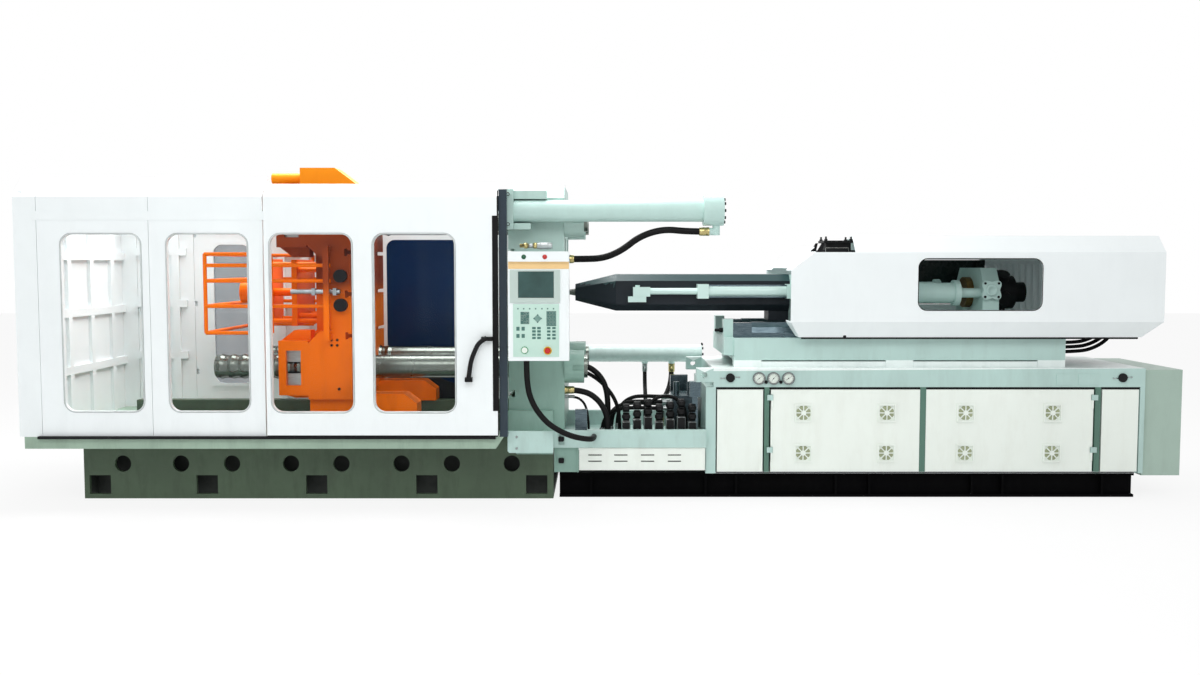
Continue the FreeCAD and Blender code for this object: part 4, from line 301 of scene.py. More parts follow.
# every CAD node gets its finish
nodeFinish = {
    "bedEnamel": "clamp_bed",
    "ledgeEnamel": "guard_ledge",
    # painted shade: the fixed platen and the tie bar nuts take platenTeal's darker colour below its band
    "platenTeal": "fixed_platen tie_bar_nuts",
    "tieBarSteel": "tie_bars",
    "whiteCoat": "end_guard front_guard_panels rear_guard_panels control_box front_door rear_door "
        "service_door unit_cover",
    "clearPane": "guard_panes front_door_panes",
    "blackPaint": "door_rails hopper_throat screw_motor",
    "postGloss": "door_posts",
    "lightEnamel": "stroke_cylinders injection_deck cabinet_frame gap_beam base_frame injection_housing "
        "injection_cylinders thrust_block",
    "keypadFilm": "control_faceplates",
    "plinthBlack": "plinth",
    "creamCoat": "base_panels cabinet_door_left cabinet_door_right",
    "bareSteel": "pressure_gauges upper_half_nuts lower_half_nuts feed_screw",
    "boxGrey": "end_box",
    "railSteel": "hydraulic_manifold guide_rails",
    "blackPlastic": "front_door_handle",
    "bluePane": "rear_door_panes",
    "smokePane": "service_pane",
    # painted shade: brown above the band on the moving platen and the lock housings
    "platenEnamel": "moving_platen lock_housings",
    "orangeEnamel": "ejector_cylinder ejector_guard ejector_plate",
    "barChrome": "stroke_rods",
    "postAluminium": "position_rod",
    "amberEnamel": "platen_valve_box",
    "barrelSteel": "screw_barrel nozzle",
    "charcoalCoat": "barrel_guard",
    "cylinderGloss": "carriage_cylinders",
    "keyWhite": "start_button",
    "keyRed": "stop_button",
    "hoseRubber": "stroke_hose panel_conduit hydraulic_hoses carriage_hoses",
}
# and some faces another one: those whose middle lies in the box
zoneSettings = [
    ("guard_ledge", "blackPaint", (-1.9, 0.6, 0.45), (-1.15, 0.66, 0.83)),
    ("thrust_block", "dullBronze", (2.68, -0.3, 1.2), (2.7395, 0.3, 1.8)),
    ("control_faceplates", "bezelGrey", (-0.7, -0.911, 1.42), (-0.32, -0.8, 1.68)),
    ("door_rails", "whiteCoat", (-9, -9, 1.5), (9, 9, 9)),
    # painted shade inside the bed's hollow girder, seen through its holes
    ("clamp_bed", "darkInside", (-3.79, -0.519, 0.0), (-0.42, -0.37, 0.4)),
    ("clamp_bed", "darkInside", (-3.79, 0.37, 0.0), (-0.42, 0.519, 0.4)),
    # painted highlight on the shaded lower stroke cylinder
    ("stroke_cylinders", "lowerCylinderEnamel", (-0.8, 0.3, 0.7), (1.0, 0.9, 1.2)),
    ("platen_valve_box", "blackPaint", (-1.97, -0.9, 1.349), (-1.85, 0.9, 1.449)),   # round caps
    ("platen_valve_box", "blackPaint", (-1.97, -0.9, 1.555), (-1.85, 0.9, 1.655)),
    ("control_box", "stripBeige", (-0.72, -0.885, 1.65), (-0.27, -0.8, 1.707)),
    # painted highlight on the deck's top faces
    ("injection_deck", "deckTop", (0.6, -0.6, 0.93), (3.9, 0.6, 0.992)),
    ("injection_deck", "blackPaint", (0.83, -0.54, 0.84), (0.896, -0.5255, 0.906)),   # round plugs
    ("injection_deck", "blackPaint", (3.653, -0.54, 0.84), (3.719, -0.5255, 0.906)),
    # painted highlight on the barrel guard's top faces
    ("barrel_guard", "hoodTeal", (-0.4, -0.18, 1.54), (1.4, 0.18, 1.7)),
    # painted shade on the recessed posts between the cabinet doors
    ("cabinet_frame", "postShade", (1.0, -0.53, 0.2), (3.6, -0.49, 0.78)),
]
rodHalf = 0.0065   # four dark rods lie along each carriage cylinder
for y in (-0.274, -0.19, 0.19, 0.274):
    zoneSettings += [("carriage_cylinders", "railSteel", (0.73, y - rodHalf, z - rodHalf),
                      (1.36, y + rodHalf, z + rodHalf)) for z in (1.446, 1.53)]


def faceZone(node, finish, low, high):
    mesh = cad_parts[node].data
    slot = mesh.materials.find(finish)
    if slot < 0:
        mesh.materials.append(finishes[finish])
        slot = len(mesh.materials) - 1
    for face in mesh.polygons:
        if all(low[k] <= face.center[k] <= high[k] for k in range(3)):
            face.material_index = slot


def setFinishes():
    for finish, nodes in nodeFinish.items():
        for node in nodes.split():
            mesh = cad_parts[node].data
            mesh.materials.clear()
            mesh.materials.append(finishes[finish])
            for face in mesh.polygons:
                face.material_index = 0
    for zone in zoneSettings:
        faceZone(*zone)


setFinishes()
print("finishes set")


# light: a soft sky, a wide lamp over the operator's side, one over the open top of the guard, one behind
lightSettings = {
    "skyStrength": 0.66,
    "lamps": [   # name, place, aim, size, power
        ("front lamp", (-0.5, -6.5, 5.6), (0, 0, 1.0), (8.0, 3.0), 212),
        ("top lamp", (-1.9, 0.3, 4.6), (-1.9, 0.1, 0), (4.0, 2.0), 300),
        ("rear lamp", (1.0, 5.5, 4.5), (0, 0, 1.2), (7.0, 2.5), 120),
    ],
}


def setLight(given):
    world = bpy.data.worlds.new("studio")
    world.use_nodes = True
    bpy.context.scene.world = world
    tree = world.node_tree
    tree.nodes.clear()
    seen = seenBy(tree, ("Is Camera Ray", "Is Glossy Ray", "Is Transmission Ray"))
    strength = addNode(tree, "MapRange", {"To Min": given["skyStrength"], "To Max": 1.0, "Value": seen})
    sky = addNode(tree, "Background", {"Color": (1, 1, 1, 1), "Strength": strength.outputs["Result"]})
    addNode(tree, "OutputWorld", {"Surface": sky.outputs["Background"]})
    for name, place, aim, size, power in given["lamps"]:
        data = bpy.data.lights.new(name, "AREA")
        data.shape = "RECTANGLE"
        data.size, data.size_y = size
        data.energy = power
        lamp = putInScene(name, data)
        lamp.location = place
        lamp.rotation_euler = (Vector(aim) - Vector(place)).to_track_quat("-Z", "Y").to_euler()


floorSettings = {"half": 30.0, "colour": (238, 238, 238), "glow": 0.86, "rough": 0.9, "cloud": 0.6}


def layFloor(given):
    half, colour = given["half"], given["colour"]
    mesh = bpy.data.meshes.new("studio floor")
    corners = [(-half, -half, 0), (half, -half, 0), (half, half, 0), (-half, half, 0)]
    mesh.from_pydata(corners, [], [(0, 1, 2, 3)])
    floor = putInScene("studio_floor", mesh)
    material, tree, shader = blankFinish("studio floor")
    shade = cloudOf(tree, noiseOf(tree, given["cloud"]), tint(colour, 0.98), tint(colour, 1.02))
    feed(tree, shader, {"Base Color": shade, "Roughness": given["rough"]})
    seen = seenBy(tree, ("Is Camera Ray", "Is Glossy Ray"))
    glow = addNode(tree, "Emission", {})
    mix = addNode(tree, "MixShader", {"Fac": mathOf(tree, "MULTIPLY", seen, given["glow"]),
                                      1: shader.outputs["BSDF"], 2: glow.outputs["Emission"]})
    feed(tree, tree.nodes["Material Output"], {"Surface": mix.outputs["Shader"]})
    mesh.materials.append(material)


setLight(lightSettings)
layFloor(floorSettings)
bpy.context.scene.view_settings.view_transform = "Standard"
print("camera, lamps and floor set")


# mesh helpers: small parts are built up in one bmesh each
axisTurn = {"x": Matrix(((0, 0, 1), (1, 0, 0), (0, 1, 0))), "y": Matrix(((0, 1, 0), (0, 0, 1), (1, 0, 0))),
            "z": Matrix.Identity(3)}


def addBlock(bm, low, high, bevel=0.0, slot=0, segments=1):
    low, high = Vector(low), Vector(high)
    place = Matrix.LocRotScale((low + high) / 2, None, high - low)
    made = bmesh.ops.create_cube(bm, size=1.0, matrix=place)["verts"]
    faces = {face for vert in made for face in vert.link_faces}
    if bevel:
        edges = {edge for vert in made for edge in vert.link_edges}
        cut = bmesh.ops.bevel(bm, geom=list(edges), offset=bevel, segments=segments, affect="EDGES")
        faces = {face for face in faces if face.is_valid} | set(cut["faces"])
    for face in faces:
        face.material_index = slot


def addTurned(bm, axis, centre, profile, steps=24, slot=0, size=1):   # profile: along, radius in sizes
    turn = axisTurn[axis] if isinstance(axis, str) else axis
    rings = []
    for along, share in profile:
        ring = []
        for step in range(steps if share else 1):   # a closed end is one point
            angle = 2 * math.pi * step / steps
            spoke = Vector((share * size * math.cos(angle), share * size * math.sin(angle), along))
            ring.append(bm.verts.new(Vector(centre) + turn @ spoke))
        rings.append(ring)
    for first, second in zip(rings, rings[1:]):
        for step in range(steps):
            after = (step + 1) % steps
            corners = [first[step % len(first)], second[step % len(second)],
                       second[after % len(second)], first[after % len(first)]]
            face = bm.faces.new(list(dict.fromkeys(corners)))   # three corners where an end is one point
            face.material_index = slot
            face.smooth = True


def addPlate(bm, outline, low, high, slot=0):   # a flat x, z outline pushed through from y low to high
    near = [bm.verts.new((x, low, z)) for x, z in outline]
    far = [bm.verts.new((x, high, z)) for x, z in outline]
    faces = [bm.faces.new(near), bm.faces.new(far[::-1])]
    for step in range(len(outline)):
        after = (step + 1) % len(outline)
        faces.append(bm.faces.new((near[step], far[step], far[after], near[after])))
    for face in faces:
        face.material_index = slot


def polar(centre, radius, degrees):
    angle = math.radians(degrees)
    return centre[0] + radius * math.cos(angle), centre[1] + radius * math.sin(angle)


def leaned(centre, degrees, pairs):   # (along, across) pairs turned about the centre
    return [polar(polar(centre, along, degrees), across, degrees + 90) for along, across in pairs]


def roundOutline(spanU, spanV, radius, steps=6):
    points = []
    for u, v, start in ((1, 1, 0), (0, 1, 90), (0, 0, 180), (1, 0, 270)):
        centre = (spanU[u] + (radius, -radius)[u], spanV[v] + (radius, -radius)[v])
        points += [polar(centre, radius, start + 90 * step / steps) for step in range(steps + 1)]
    return points


def addFrame(bm, spanX, spanZ, radius, width, y, depth):   # a rounded ring lying on a face at y
    rows = []
    for out, level in ((width, y), (width * 0.4, y - depth), (0, y - depth * 0.4), (0, y)):
        outline = roundOutline(*((span[0] - out, span[1] + out) for span in (spanX, spanZ)), radius + out)
        rows.append([bm.verts.new((x, level, z)) for x, z in outline])
    for first, second in zip(rows, rows[1:] + rows[:1]):
        for step in range(len(first)):
            after = (step + 1) % len(first)
            bm.faces.new((first[step], first[after], second[after], second[step])).smooth = True


def addScrew(bm, axis, place, sign, size, slot=0):   # cap screw: chamfered head with its socket
    tall = size * 1.1
    profile = [(0, 1), (tall * 0.8, 1), (tall, 0.82), (tall, 0.5), (tall * 0.45, 0.45), (tall * 0.45, 0)]
    addTurned(bm, axis, place, [(along * sign, share) for along, share in profile], 12, slot, size)


def finishPiece(name, bm, slots, body="machine"):
    bmesh.ops.recalc_face_normals(bm, faces=bm.faces[:])
    mesh = bpy.data.meshes.new(name)
    bm.to_mesh(mesh)
    bm.free()
    for slot in slots:
        mesh.materials.append(finishes[slot])
    piece = putInScene(name, mesh)
    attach(piece, body)
    return piece


def blockPiece(name, slots, blocks, body="machine"):   # blocks: low and high corner, bevel, slot, segments
    bm = bmesh.new()
    for block in blocks:
        addBlock(bm, *block)
    finishPiece(name, bm, slots, body)


# free hoses, by the node they stand for: diameter, length and route, in metres
hoseSettings = {
    "stroke_hose": {
        "strokeHose": (0.047, 1.092, [(0.69, -0.66, 1.917), (0.54, -0.66, 1.917), (0.37, -0.655, 1.935),
            (0.205, -0.64, 1.885), (0.08, -0.615, 1.785), (-0.05, -0.575, 1.73), (-0.2, -0.5, 1.725),
            (-0.33, -0.5, 1.725)]),
    },
    "panel_conduit": {
        "panelConduit": (0.04, 1.009, [(-0.582, -0.85, 1.027), (-0.582, -0.85, 0.85),
            (-0.538, -0.85, 0.715), (-0.455, -0.85, 0.603), (-0.365, -0.85, 0.54), (-0.27, -0.848, 0.497),
            (-0.176, -0.792, 0.47), (-0.118, -0.691, 0.455), (-0.118, -0.575, 0.455)]),
    },
    "hydraulic_hoses": {
        "platenHoseUpper": (0.029, 0.757, [(-0.33, -0.23, 0.905), (-0.23, -0.23, 0.905),
            (-0.12, -0.232, 0.856), (-0.02, -0.236, 0.77), (0.05, -0.24, 0.66), (0.074, -0.24, 0.53),
            (0.074, -0.24, 0.383)]),
        "platenHoseThick": (0.043, 0.771, [(-0.33, -0.27, 0.95), (-0.2, -0.27, 0.95),
            (-0.089, -0.273, 0.885), (-0.024, -0.278, 0.774), (-0.014, -0.282, 0.59),
            (-0.014, -0.282, 0.383)]),
        "platenHoseLow": (0.043, 0.601, [(-0.33, -0.48, 0.78), (-0.2, -0.48, 0.78),
            (-0.089, -0.48, 0.715), (-0.024, -0.48, 0.604), (-0.02, -0.48, 0.495),
            (-0.02, -0.48, 0.383)]),
        "platenHoseThin": (0.018, 0.447, [(-0.33, -0.38, 0.72), (-0.255, -0.38, 0.72),
            (-0.204, -0.38, 0.69), (-0.175, -0.38, 0.64), (-0.16, -0.38, 0.55), (-0.157, -0.38, 0.465),
            (-0.157, -0.38, 0.383)]),
        "cylinderHoseLeft": (0.033, 0.548, [(0.294, 0.66, 0.872), (0.294, 0.66, 0.774),
            (0.294, 0.615, 0.691), (0.294, 0.535, 0.639), (0.294, 0.49, 0.556), (0.294, 0.49, 0.383)]),
        "cylinderHoseRight": (0.041, 0.559, [(0.515, 0.66, 0.872), (0.515, 0.66, 0.762),
            (0.489, 0.612, 0.661), (0.444, 0.528, 0.597), (0.418, 0.48, 0.496), (0.418, 0.48, 0.383)]),
        "valveHose": (0.026, 0.842, [(0.259, -0.345, 0.383), (0.259, -0.345, 0.5), (0.263, -0.345, 0.613),
            (0.302, -0.345, 0.681), (0.37, -0.346, 0.72), (0.448, -0.347, 0.72), (0.516, -0.348, 0.681),
            (0.555, -0.348, 0.613), (0.558, -0.348, 0.5), (0.558, -0.348, 0.383)]),
        "manifoldHoseFront": (0.03, 0.676, [(-0.06, -0.122, 0.383), (-0.06, -0.122, 0.477),
            (-0.015, -0.122, 0.555), (0.063, -0.122, 0.6), (0.2, -0.128, 0.606), (0.34, -0.122, 0.6),
            (0.47, -0.122, 0.6)]),
        "manifoldHoseSecond": (0.03, 0.646, [(0.01, -0.042, 0.383), (0.01, -0.042, 0.517),
            (0.055, -0.042, 0.595), (0.133, -0.042, 0.64), (0.24, -0.048, 0.645), (0.355, -0.042, 0.64),
            (0.47, -0.042, 0.64)]),
        "manifoldHoseThird": (0.03, 0.651, [(-0.02, 0.047, 0.383), (-0.02, 0.047, 0.492),
            (0.025, 0.047, 0.57), (0.103, 0.047, 0.615), (0.22, 0.052, 0.621), (0.345, 0.047, 0.615),
            (0.47, 0.047, 0.615)]),
        "manifoldHoseBack": (0.03, 0.616, [(0.06, 0.127, 0.383), (0.06, 0.127, 0.537),
            (0.105, 0.127, 0.615), (0.183, 0.127, 0.66), (0.28, 0.131, 0.664), (0.375, 0.127, 0.66),
            (0.47, 0.127, 0.66)]),
    },
    "carriage_hoses": {
        "carriageLoopOuter": (0.028, 0.996, [(3.4, -0.26, 1.28315), (3.62, -0.26, 1.28315),
            (3.717, -0.217, 1.247), (3.773, -0.143, 1.185), (3.773, -0.057, 1.113), (3.717, 0.017, 1.051),
            (3.62, 0.06, 1.015), (3.39, 0.06, 1.015)]),
        "carriageLoopMiddle": (0.028, 0.959, [(3.4, -0.205, 1.28315), (3.62, -0.205, 1.28315),
            (3.71, -0.163, 1.252), (3.763, -0.092, 1.197), (3.763, -0.008, 1.133), (3.71, 0.063, 1.079),
            (3.62, 0.105, 1.047), (3.39, 0.105, 1.047)]),
        "carriageLoopInner": (0.028, 0.924, [(3.4, -0.15, 1.28315), (3.62, -0.15, 1.28315),
            (3.704, -0.11, 1.256), (3.753, -0.04, 1.208), (3.753, 0.04, 1.154), (3.704, 0.11, 1.106),
            (3.62, 0.15, 1.079), (3.39, 0.15, 1.079)]),
    },
}
ferruleSettings = {"brassAbove": 0.04, "steps": 18, "bare": ("panelConduit",),
                   "shape": [(0, 1.3), (0.02, 1.3), (0.021, 1.12), (0.024, 1.28), (0.06, 1.28),
                             (0.063, 1.16), (0.066, 1.28), (0.07, 1.05), (0.07, 0.98)]}


def layHose(name, node, body, diameter, points):
    curve = bpy.data.curves.new(name, "CURVE")
    curve.dimensions = "3D"
    curve.resolution_u = 8
    curve.bevel_depth = diameter / 2
    curve.bevel_resolution = 5
    curve.use_fill_caps = True
    spline = curve.splines.new("NURBS")
    spline.points.add(len(points) - 1)
    for point, place in zip(spline.points, points):
        point.co = (*place, 1.0)
    spline.order_u = 3
    spline.use_endpoint_u = True
    curve.materials.append(finishes["hoseRubber"])
    hose = putInScene(name, curve)
    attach(hose, body)
    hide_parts(node)
    return hose


def layHoses(given, ferrules):
    for node, hoses in given.items():
        body = "carriage" if node == "carriage_hoses" else "machine"
        for name, (diameter, length, points) in hoses.items():
            hose = layHose(name, node, body, diameter, points)
            if name not in ferrules["bare"]:   # crimped sleeve and nut where the hose meets its fitting
                bm = bmesh.new()
                for start, towards in ((points[0], points[1]), (points[-1], points[-2])):
                    turn = (Vector(towards) - Vector(start)).normalized().to_track_quat("Z", "Y").to_matrix()
                    addTurned(bm, turn, start, ferrules["shape"], ferrules["steps"], 0, diameter / 2)
                metal = "brass" if diameter > ferrules["brassAbove"] else "bareSteel"
                finishPiece(name + "Ferrules", bm, [metal], body)


layHoses(hoseSettings, ferruleSettings)
print("hoses laid")


# window gaskets: name, body, node and spans in x
gasketSettings = {
    "windowZ": (0.674, 1.891), "corner": 0.07, "width": 0.012, "lift": 0.004,
    "front": [("panelWindowGaskets", "machine", "front_guard_panels", [(-3.771, -3.23), (-3.045, -2.498)]),
              ("doorWindowGaskets", "front_door_slider", "front_door", [(-2.327, -1.772), (-1.622, -1.071)])]
}


def fitGaskets(given):
    corner, width, lift = given["corner"], given["width"], given["lift"]
    for name, body, node, spans in given["front"]:
        bm = bmesh.new()
        for span in spans:
            addFrame(bm, span, given["windowZ"], corner, width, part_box(node)[0][1], lift)
        finishPiece(name, bm, ["gasketGrey"], body)


fitGaskets(gasketSettings)


# a cut copy of a CAD node, standing for it: for openings that the solid lacks
def cutCopy(name, node, body, boxes):
    piece = putInScene(name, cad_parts[node].data.copy())
    cutters = []
    for low, high in boxes:
        bm = bmesh.new()
        addBlock(bm, low, high)
        mesh = bpy.data.meshes.new("cutter")
        bm.to_mesh(mesh)
        bm.free()
        cutters.append(putInScene("cutter", mesh))
        step = piece.modifiers.new("cut", "BOOLEAN")
        step.operation = "DIFFERENCE"
        step.solver = "EXACT"
        step.object = cutters[-1]
    shaped = bpy.data.meshes.new_from_object(piece.evaluated_get(bpy.context.evaluated_depsgraph_get()))
    piece.modifiers.clear()
    piece.data = shaped
    for cutter in cutters:
        bpy.data.objects.remove(cutter)
    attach(piece, body)
    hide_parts(node)


# the long cover is open at its front end, and notched for the hopper throat and the plate under it
coverSettings = {
    "unit_cover": ("longCover", [
        ((1.27, -0.594, 1.16), (1.2862, 0.594, 1.766)), ((1.27, -0.476, 1.7), (1.2862, 0.476, 1.884)),
        ((1.452, -0.62, 1.7735), (1.735, -0.3, 1.95)), ((1.5, -0.31, 1.7735), (1.91, 0.62, 1.95)),
        ((1.34, -0.5945, 1.612), (1.39, -0.325, 1.682)), ((1.34, 0.325, 1.612), (1.39, 0.5945, 1.682)),
    ]),
    "injection_housing": ("injectionHousing", [((1.335, -0.4, 1.612), (1.39, 0.4, 1.7))]),
}
for node, (name, boxes) in coverSettings.items():
    cutCopy(name, node, "carriage", boxes)
print("long cover dressed")


# control box: lamps on the hood, screen glass, keys and the rings round its two buttons
controlSettings = {
    "hoodFace": -0.912, "lampX": (-0.594, -0.451), "lampZ": 1.738, "lampRadius": 0.0135,
    "lampShape": [(0.0005, 1.2), (-0.003, 1.2), (-0.003, 1), (-0.007, 0.86), (-0.01, 0.5), (-0.011, 0)],
    "screen": ((-0.6335, -0.9045, 1.4595), (-0.3905, -0.9028, 1.6385)),
    "keyFace": -0.906, "corner": (-0.669, 1.417), "scale": (0.000541, 0.000536),   # metres to a layout step
    "dots": (62, 135, 210, 285, 365, 437, 512), "dotY": 60, "dotHalf": 9,   # all in layout steps
    "groups": [   # left and top, columns, rows, step across, step down, key width and height
        (102, 108, 3, 4, 34, 37, 26, 28), (430, 98, 3, 4, 38, 46, 28, 34),
        (40, 290, 2, 2, 66, 92, 42, 50), (240, 292, 2, 4, 64, 42, 46, 30), (428, 292, 2, 4, 66, 44, 44, 28),
    ],
    "pad": (310, 185), "arrowTip": 0.031, "arrowFoot": 0.0225, "arrowHalf": 22.9183,   # degrees
    "padShape": [(0, 0.021), (-0.0014, 0.02), (-0.0014, 0.0135), (-0.0006, 0.013), (-0.0006, 0)],
    "thick": {"dot": 0.0012, "field": 0.0006, "tall": 0.0022, "flat": 0.0014},
    "sunk": 0.0004, "bevel": 0.0007, "edge": 8,
    "rings": [("keyGreen", (-0.591, 1.101), 0.0206, 0.025, 0.0045),
              ("keyYellow", (-0.433, 1.098), 0.0206, 0.0285, 0.0035)],   # inner and outer radius, lift
    "ringChamfer": 0.0012, "ringFoot": 0.0003,
}


def dressHood(given):
    bm = bmesh.new()
    for number, x in enumerate(given["lampX"]):
        place = (x, given["hoodFace"], given["lampZ"])
        addTurned(bm, "y", place, given["lampShape"], 20, number, given["lampRadius"])
    finishPiece("hoodLamps", bm, ["lampGreen", "keyRed"])
    blockPiece("screenPane", ["screenGlass"], [(*given["screen"], 0.0006)])


def dressKeypad(given):
    bm = bmesh.new()
    face, thick = given["keyFace"], given["thick"]
    left, top = given["corner"]
    wide, tall = given["scale"]

    def key(x, y, w, h, thickness, slot):
        addBlock(bm, (left + x * wide, face - thickness, top - (y + h) * tall),
                 (left + (x + w) * wide, face + given["sunk"], top - y * tall), given["bevel"], slot)
    half, edge = given["dotHalf"], given["edge"]
    for x in given["dots"]:
        key(x - half, given["dotY"] - half, half * 2, half * 2, thick["dot"], 1)
    for number, (x, y, columns, rows, stepX, stepY, w, h) in enumerate(given["groups"]):
        grid = number < 2
        if grid:   # the two number pads lie on a darker field
            key(x - edge, y - edge, columns * stepX + edge, rows * stepY + edge, thick["field"], 0)
        for column in range(columns):
            for row in range(rows):
                slot = 2 if grid and (number == 1 or (column + row) % 3) else 1
                key(x + column * stepX, y + row * stepY, w, h, thick["tall" if grid else "flat"], slot)
    centre = (left + given["pad"][0] * wide, top - given["pad"][1] * tall)
    addTurned(bm, "y", (centre[0], face, centre[1]), given["padShape"], 24, 1)
    for angle in range(0, 360, 90):   # the four arrows of the pad
        outline = [polar(centre, given["arrowTip"], angle)]
        for way in (1, -1):
            outline.append(polar(centre, given["arrowFoot"], angle + way * given["arrowHalf"]))
        addPlate(bm, outline, face + 0.0002, face - thick["flat"])
    finishPiece("keypadKeys", bm, ["keyTeal", "keyMark", "keyWhite"])

    bm = bmesh.new()
    cut, start = given["ringChamfer"], given["ringFoot"]
    for slot, (finish, (x, z), inner, outer, lift) in enumerate(given["rings"]):
        shape = [(start, inner), (-lift, inner), (-lift, outer - cut), (-lift + cut, outer), (start, outer)]
        addTurned(bm, "y", (x, face, z), shape, 28, slot)
    finishPiece("buttonRings", bm, [ring[0] for ring in given["rings"]])


dressHood(controlSettings)
dressKeypad(controlSettings)
print("control box dressed")


# pressure gauges: dial, ticks, needle and dark rims, with small black snubbers between
gaugeSettings = {
    "x": (1.068, 1.172, 1.279), "z": 0.87, "rim": -0.551, "dial": -0.546, "radius": 0.0368,
    "needle": (40, 48, 36), "needleSpan": (-0.55, 0.72), "needleHalf": (0.0014, 0.0004),
    "rimShape": [(0.0004, 0.0452), (-0.0012, 0.0452), (-0.0012, 0.0425), (0.0004, 0.0425)],
    "lipShape": [(0.0044, 0.0368), (-0.0008, 0.0378), (-0.0008, 0.0362), (0.0044, 0.0352)],
    "ticks": 13, "firstTick": 225, "tickStep": 22.5, "tickSpan": (0.74, 0.9), "tickHalf": 0.0009,
    "snubbers": ((1.12, 0.842), (1.226, 0.842)), "snubberFace": -0.525,
    "snubberShape": [(0, 0.013), (-0.012, 0.013), (-0.014, 0.01), (-0.014, 0)],
}


def dressGauges(given):
    bm = bmesh.new()
    z, dial, r, side = given["z"], given["dial"], given["radius"], given["tickHalf"]
    near, far = (r * share for share in given["tickSpan"])
    tail, tip = (r * share for share in given["needleSpan"])
    thick, thin = given["needleHalf"]
    for x, lean in zip(given["x"], given["needle"]):
        addTurned(bm, "y", (x, dial, z), [(-0.0002, 1), (-0.0006, 0.98), (-0.0006, 0)], 32, 0, r)
        for shape in ("rimShape", "lipShape"):
            addTurned(bm, "y", (x, given["rim"], z), given[shape], 36, 1)
        for tick in range(given["ticks"]):
            outline = leaned((x, z), given["firstTick"] - tick * given["tickStep"],
                             [(near, -side), (far, -side), (far, side), (near, side)])
            addPlate(bm, outline, dial - 0.0004, dial - 0.0011, 1)
        outline = leaned((x, z), lean, [(tail, -thick), (tip, -thin), (tip, thin), (tail, thick)])
        addPlate(bm, outline, dial - 0.0016, dial - 0.0022, 1)
        addTurned(bm, "y", (x, dial, z), [(-0.0006, 0.004), (-0.003, 0.0036), (-0.003, 0)], 12, 1)
    for x, z in given["snubbers"]:
        addTurned(bm, "y", (x, given["snubberFace"], z), given["snubberShape"], 6, 1)
    finishPiece("gaugeDials", bm, ["keyWhite", "blackPlastic"])


dressGauges(gaugeSettings)
print("gauges dressed")


# cabinet doors: painted shade, olive petals behind the grilles' vanes for the shaded openings
grilleSettings = {"face": (-0.5246, -0.5266), "inner": 0.0195, "outer": 0.0505, "crown": 1.06, "open": 17,
                  "petals": 8, "rows": (0.327, 0.619), "left": (1.392, 1.993), "right": (2.561, 3.188)}


def dressGrilles(given):
    inner, outer, half = given["inner"], given["outer"], given["open"]
    corners = [(inner, -half), (outer, -half), (outer * given["crown"], 0), (outer, half), (inner, half)]
    for side in ("left", "right"):
        bm = bmesh.new()
        for x in given[side]:
            for z in given["rows"]:
                for petal in range(given["petals"]):
                    middle = (petal + 0.5) * 360 / given["petals"]
                    outline = [polar((x, z), along, middle + turn) for along, turn in corners]
                    addPlate(bm, outline, *given["face"])
        finishPiece(side + "GrilleShadePetals", bm, ["grilleDark"], side + "_cabinet_leaf")


dressGrilles(grilleSettings)


# painted shade round the cabinet: a black strip over the doors for the shadow gap under the deck, and a pale
# strip at their foot; and the spacers between deck and base frame
gapStripSettings = {
    # painted shade: black strip over the door tops, standing for the gap under the deck
    "cabinet": [((0.76, -0.515, 0.7885), (3.838, -0.5035, 0.8045), 0.002, 0),
                ((0.76, -0.526, 0.1785), (3.79, -0.502, 0.19), 0.002, 1)],
    "deck": [((1.1005, -0.4285, 0.9412), (2.0045, -0.3, 0.982), 0.003),
             ((2.2045, -0.4285, 0.9412), (3.1095, -0.3, 0.982), 0.003)],
}
blockPiece("cabinetGapStrips", ["hoseRubber", "whiteCoat"], gapStripSettings["cabinet"])
# painted highlight: the spacers take the lit deck-top colour
blockPiece("deckSpacers", ["deckTop"], gapStripSettings["deck"])
print("cabinet seals and grilles dressed")


# hopper throat: flared black skirts, pale front plate and stud nuts
throatSettings = {
    "skirts": [[(1.545, 1.7745), (1.589, 1.7745), (1.606, 1.85), (1.589, 1.85)],
               [(1.84, 1.7745), (1.858, 1.7745), (1.834, 1.85), (1.824, 1.85)]],
    "halfY": 0.132, "thick": 0.012, "plate": ((1.615, -0.1345, 1.776), (1.788, -0.1302, 1.811)),
    "studX": (1.624, 1.813), "studY": (-0.094, 0.094), "studZ": 1.866, "nutRadius": 0.013,
    "nut": [(0, 1), (0.00975, 1), (0.0117, 0.86), (0.0117, 0.5), (0.01625, 0.48), (0.0169, 0)],
}


def dressThroat(given):
    bm = bmesh.new()
    y, thick = given["halfY"], given["thick"]
    for outline in given["skirts"]:
        addPlate(bm, outline, -y, -y + thick)
        addPlate(bm, outline, y - thick, y)
    for x in given["studX"]:
        for across in given["studY"]:
            addTurned(bm, "z", (x, across, given["studZ"]), given["nut"], 6, 0, given["nutRadius"])
    addBlock(bm, *given["plate"], 0.001, 1)
    finishPiece("throatTrim", bm, ["blackPaint", "tagWhite"], "carriage")


dressThroat(throatSettings)


# screws: two rings of ten, and two on a bracket
def ringOf(x, centre, radius):
    return [(x, *polar(centre, radius, 36 * k)) for k in range(10)]


fastenerSettings = {   # axis they point along, which way, size in metres, places
    "cylinderHeadScrews": ("x", 1, 0.011, ringOf(0.789, (-0.66, 2.06), 0.082)),
    "lowerHeadScrews": ("x", 1, 0.01, ringOf(0.76, (0.66, 0.955), 0.08)),
    "bracketScrews": ("y", -1, 0.015, [(-0.712, -0.745, 1.965), (-0.712, -0.745, 2.172)]),
}


def addFasteners(given):
    for name, (axis, sign, size, places) in given.items():
        bm = bmesh.new()
        for place in places:
            addScrew(bm, axis, place, sign, size)
        finishPiece(name, bm, ["blackPlastic"])


addFasteners(fastenerSettings)
print("throat and fasteners dressed")


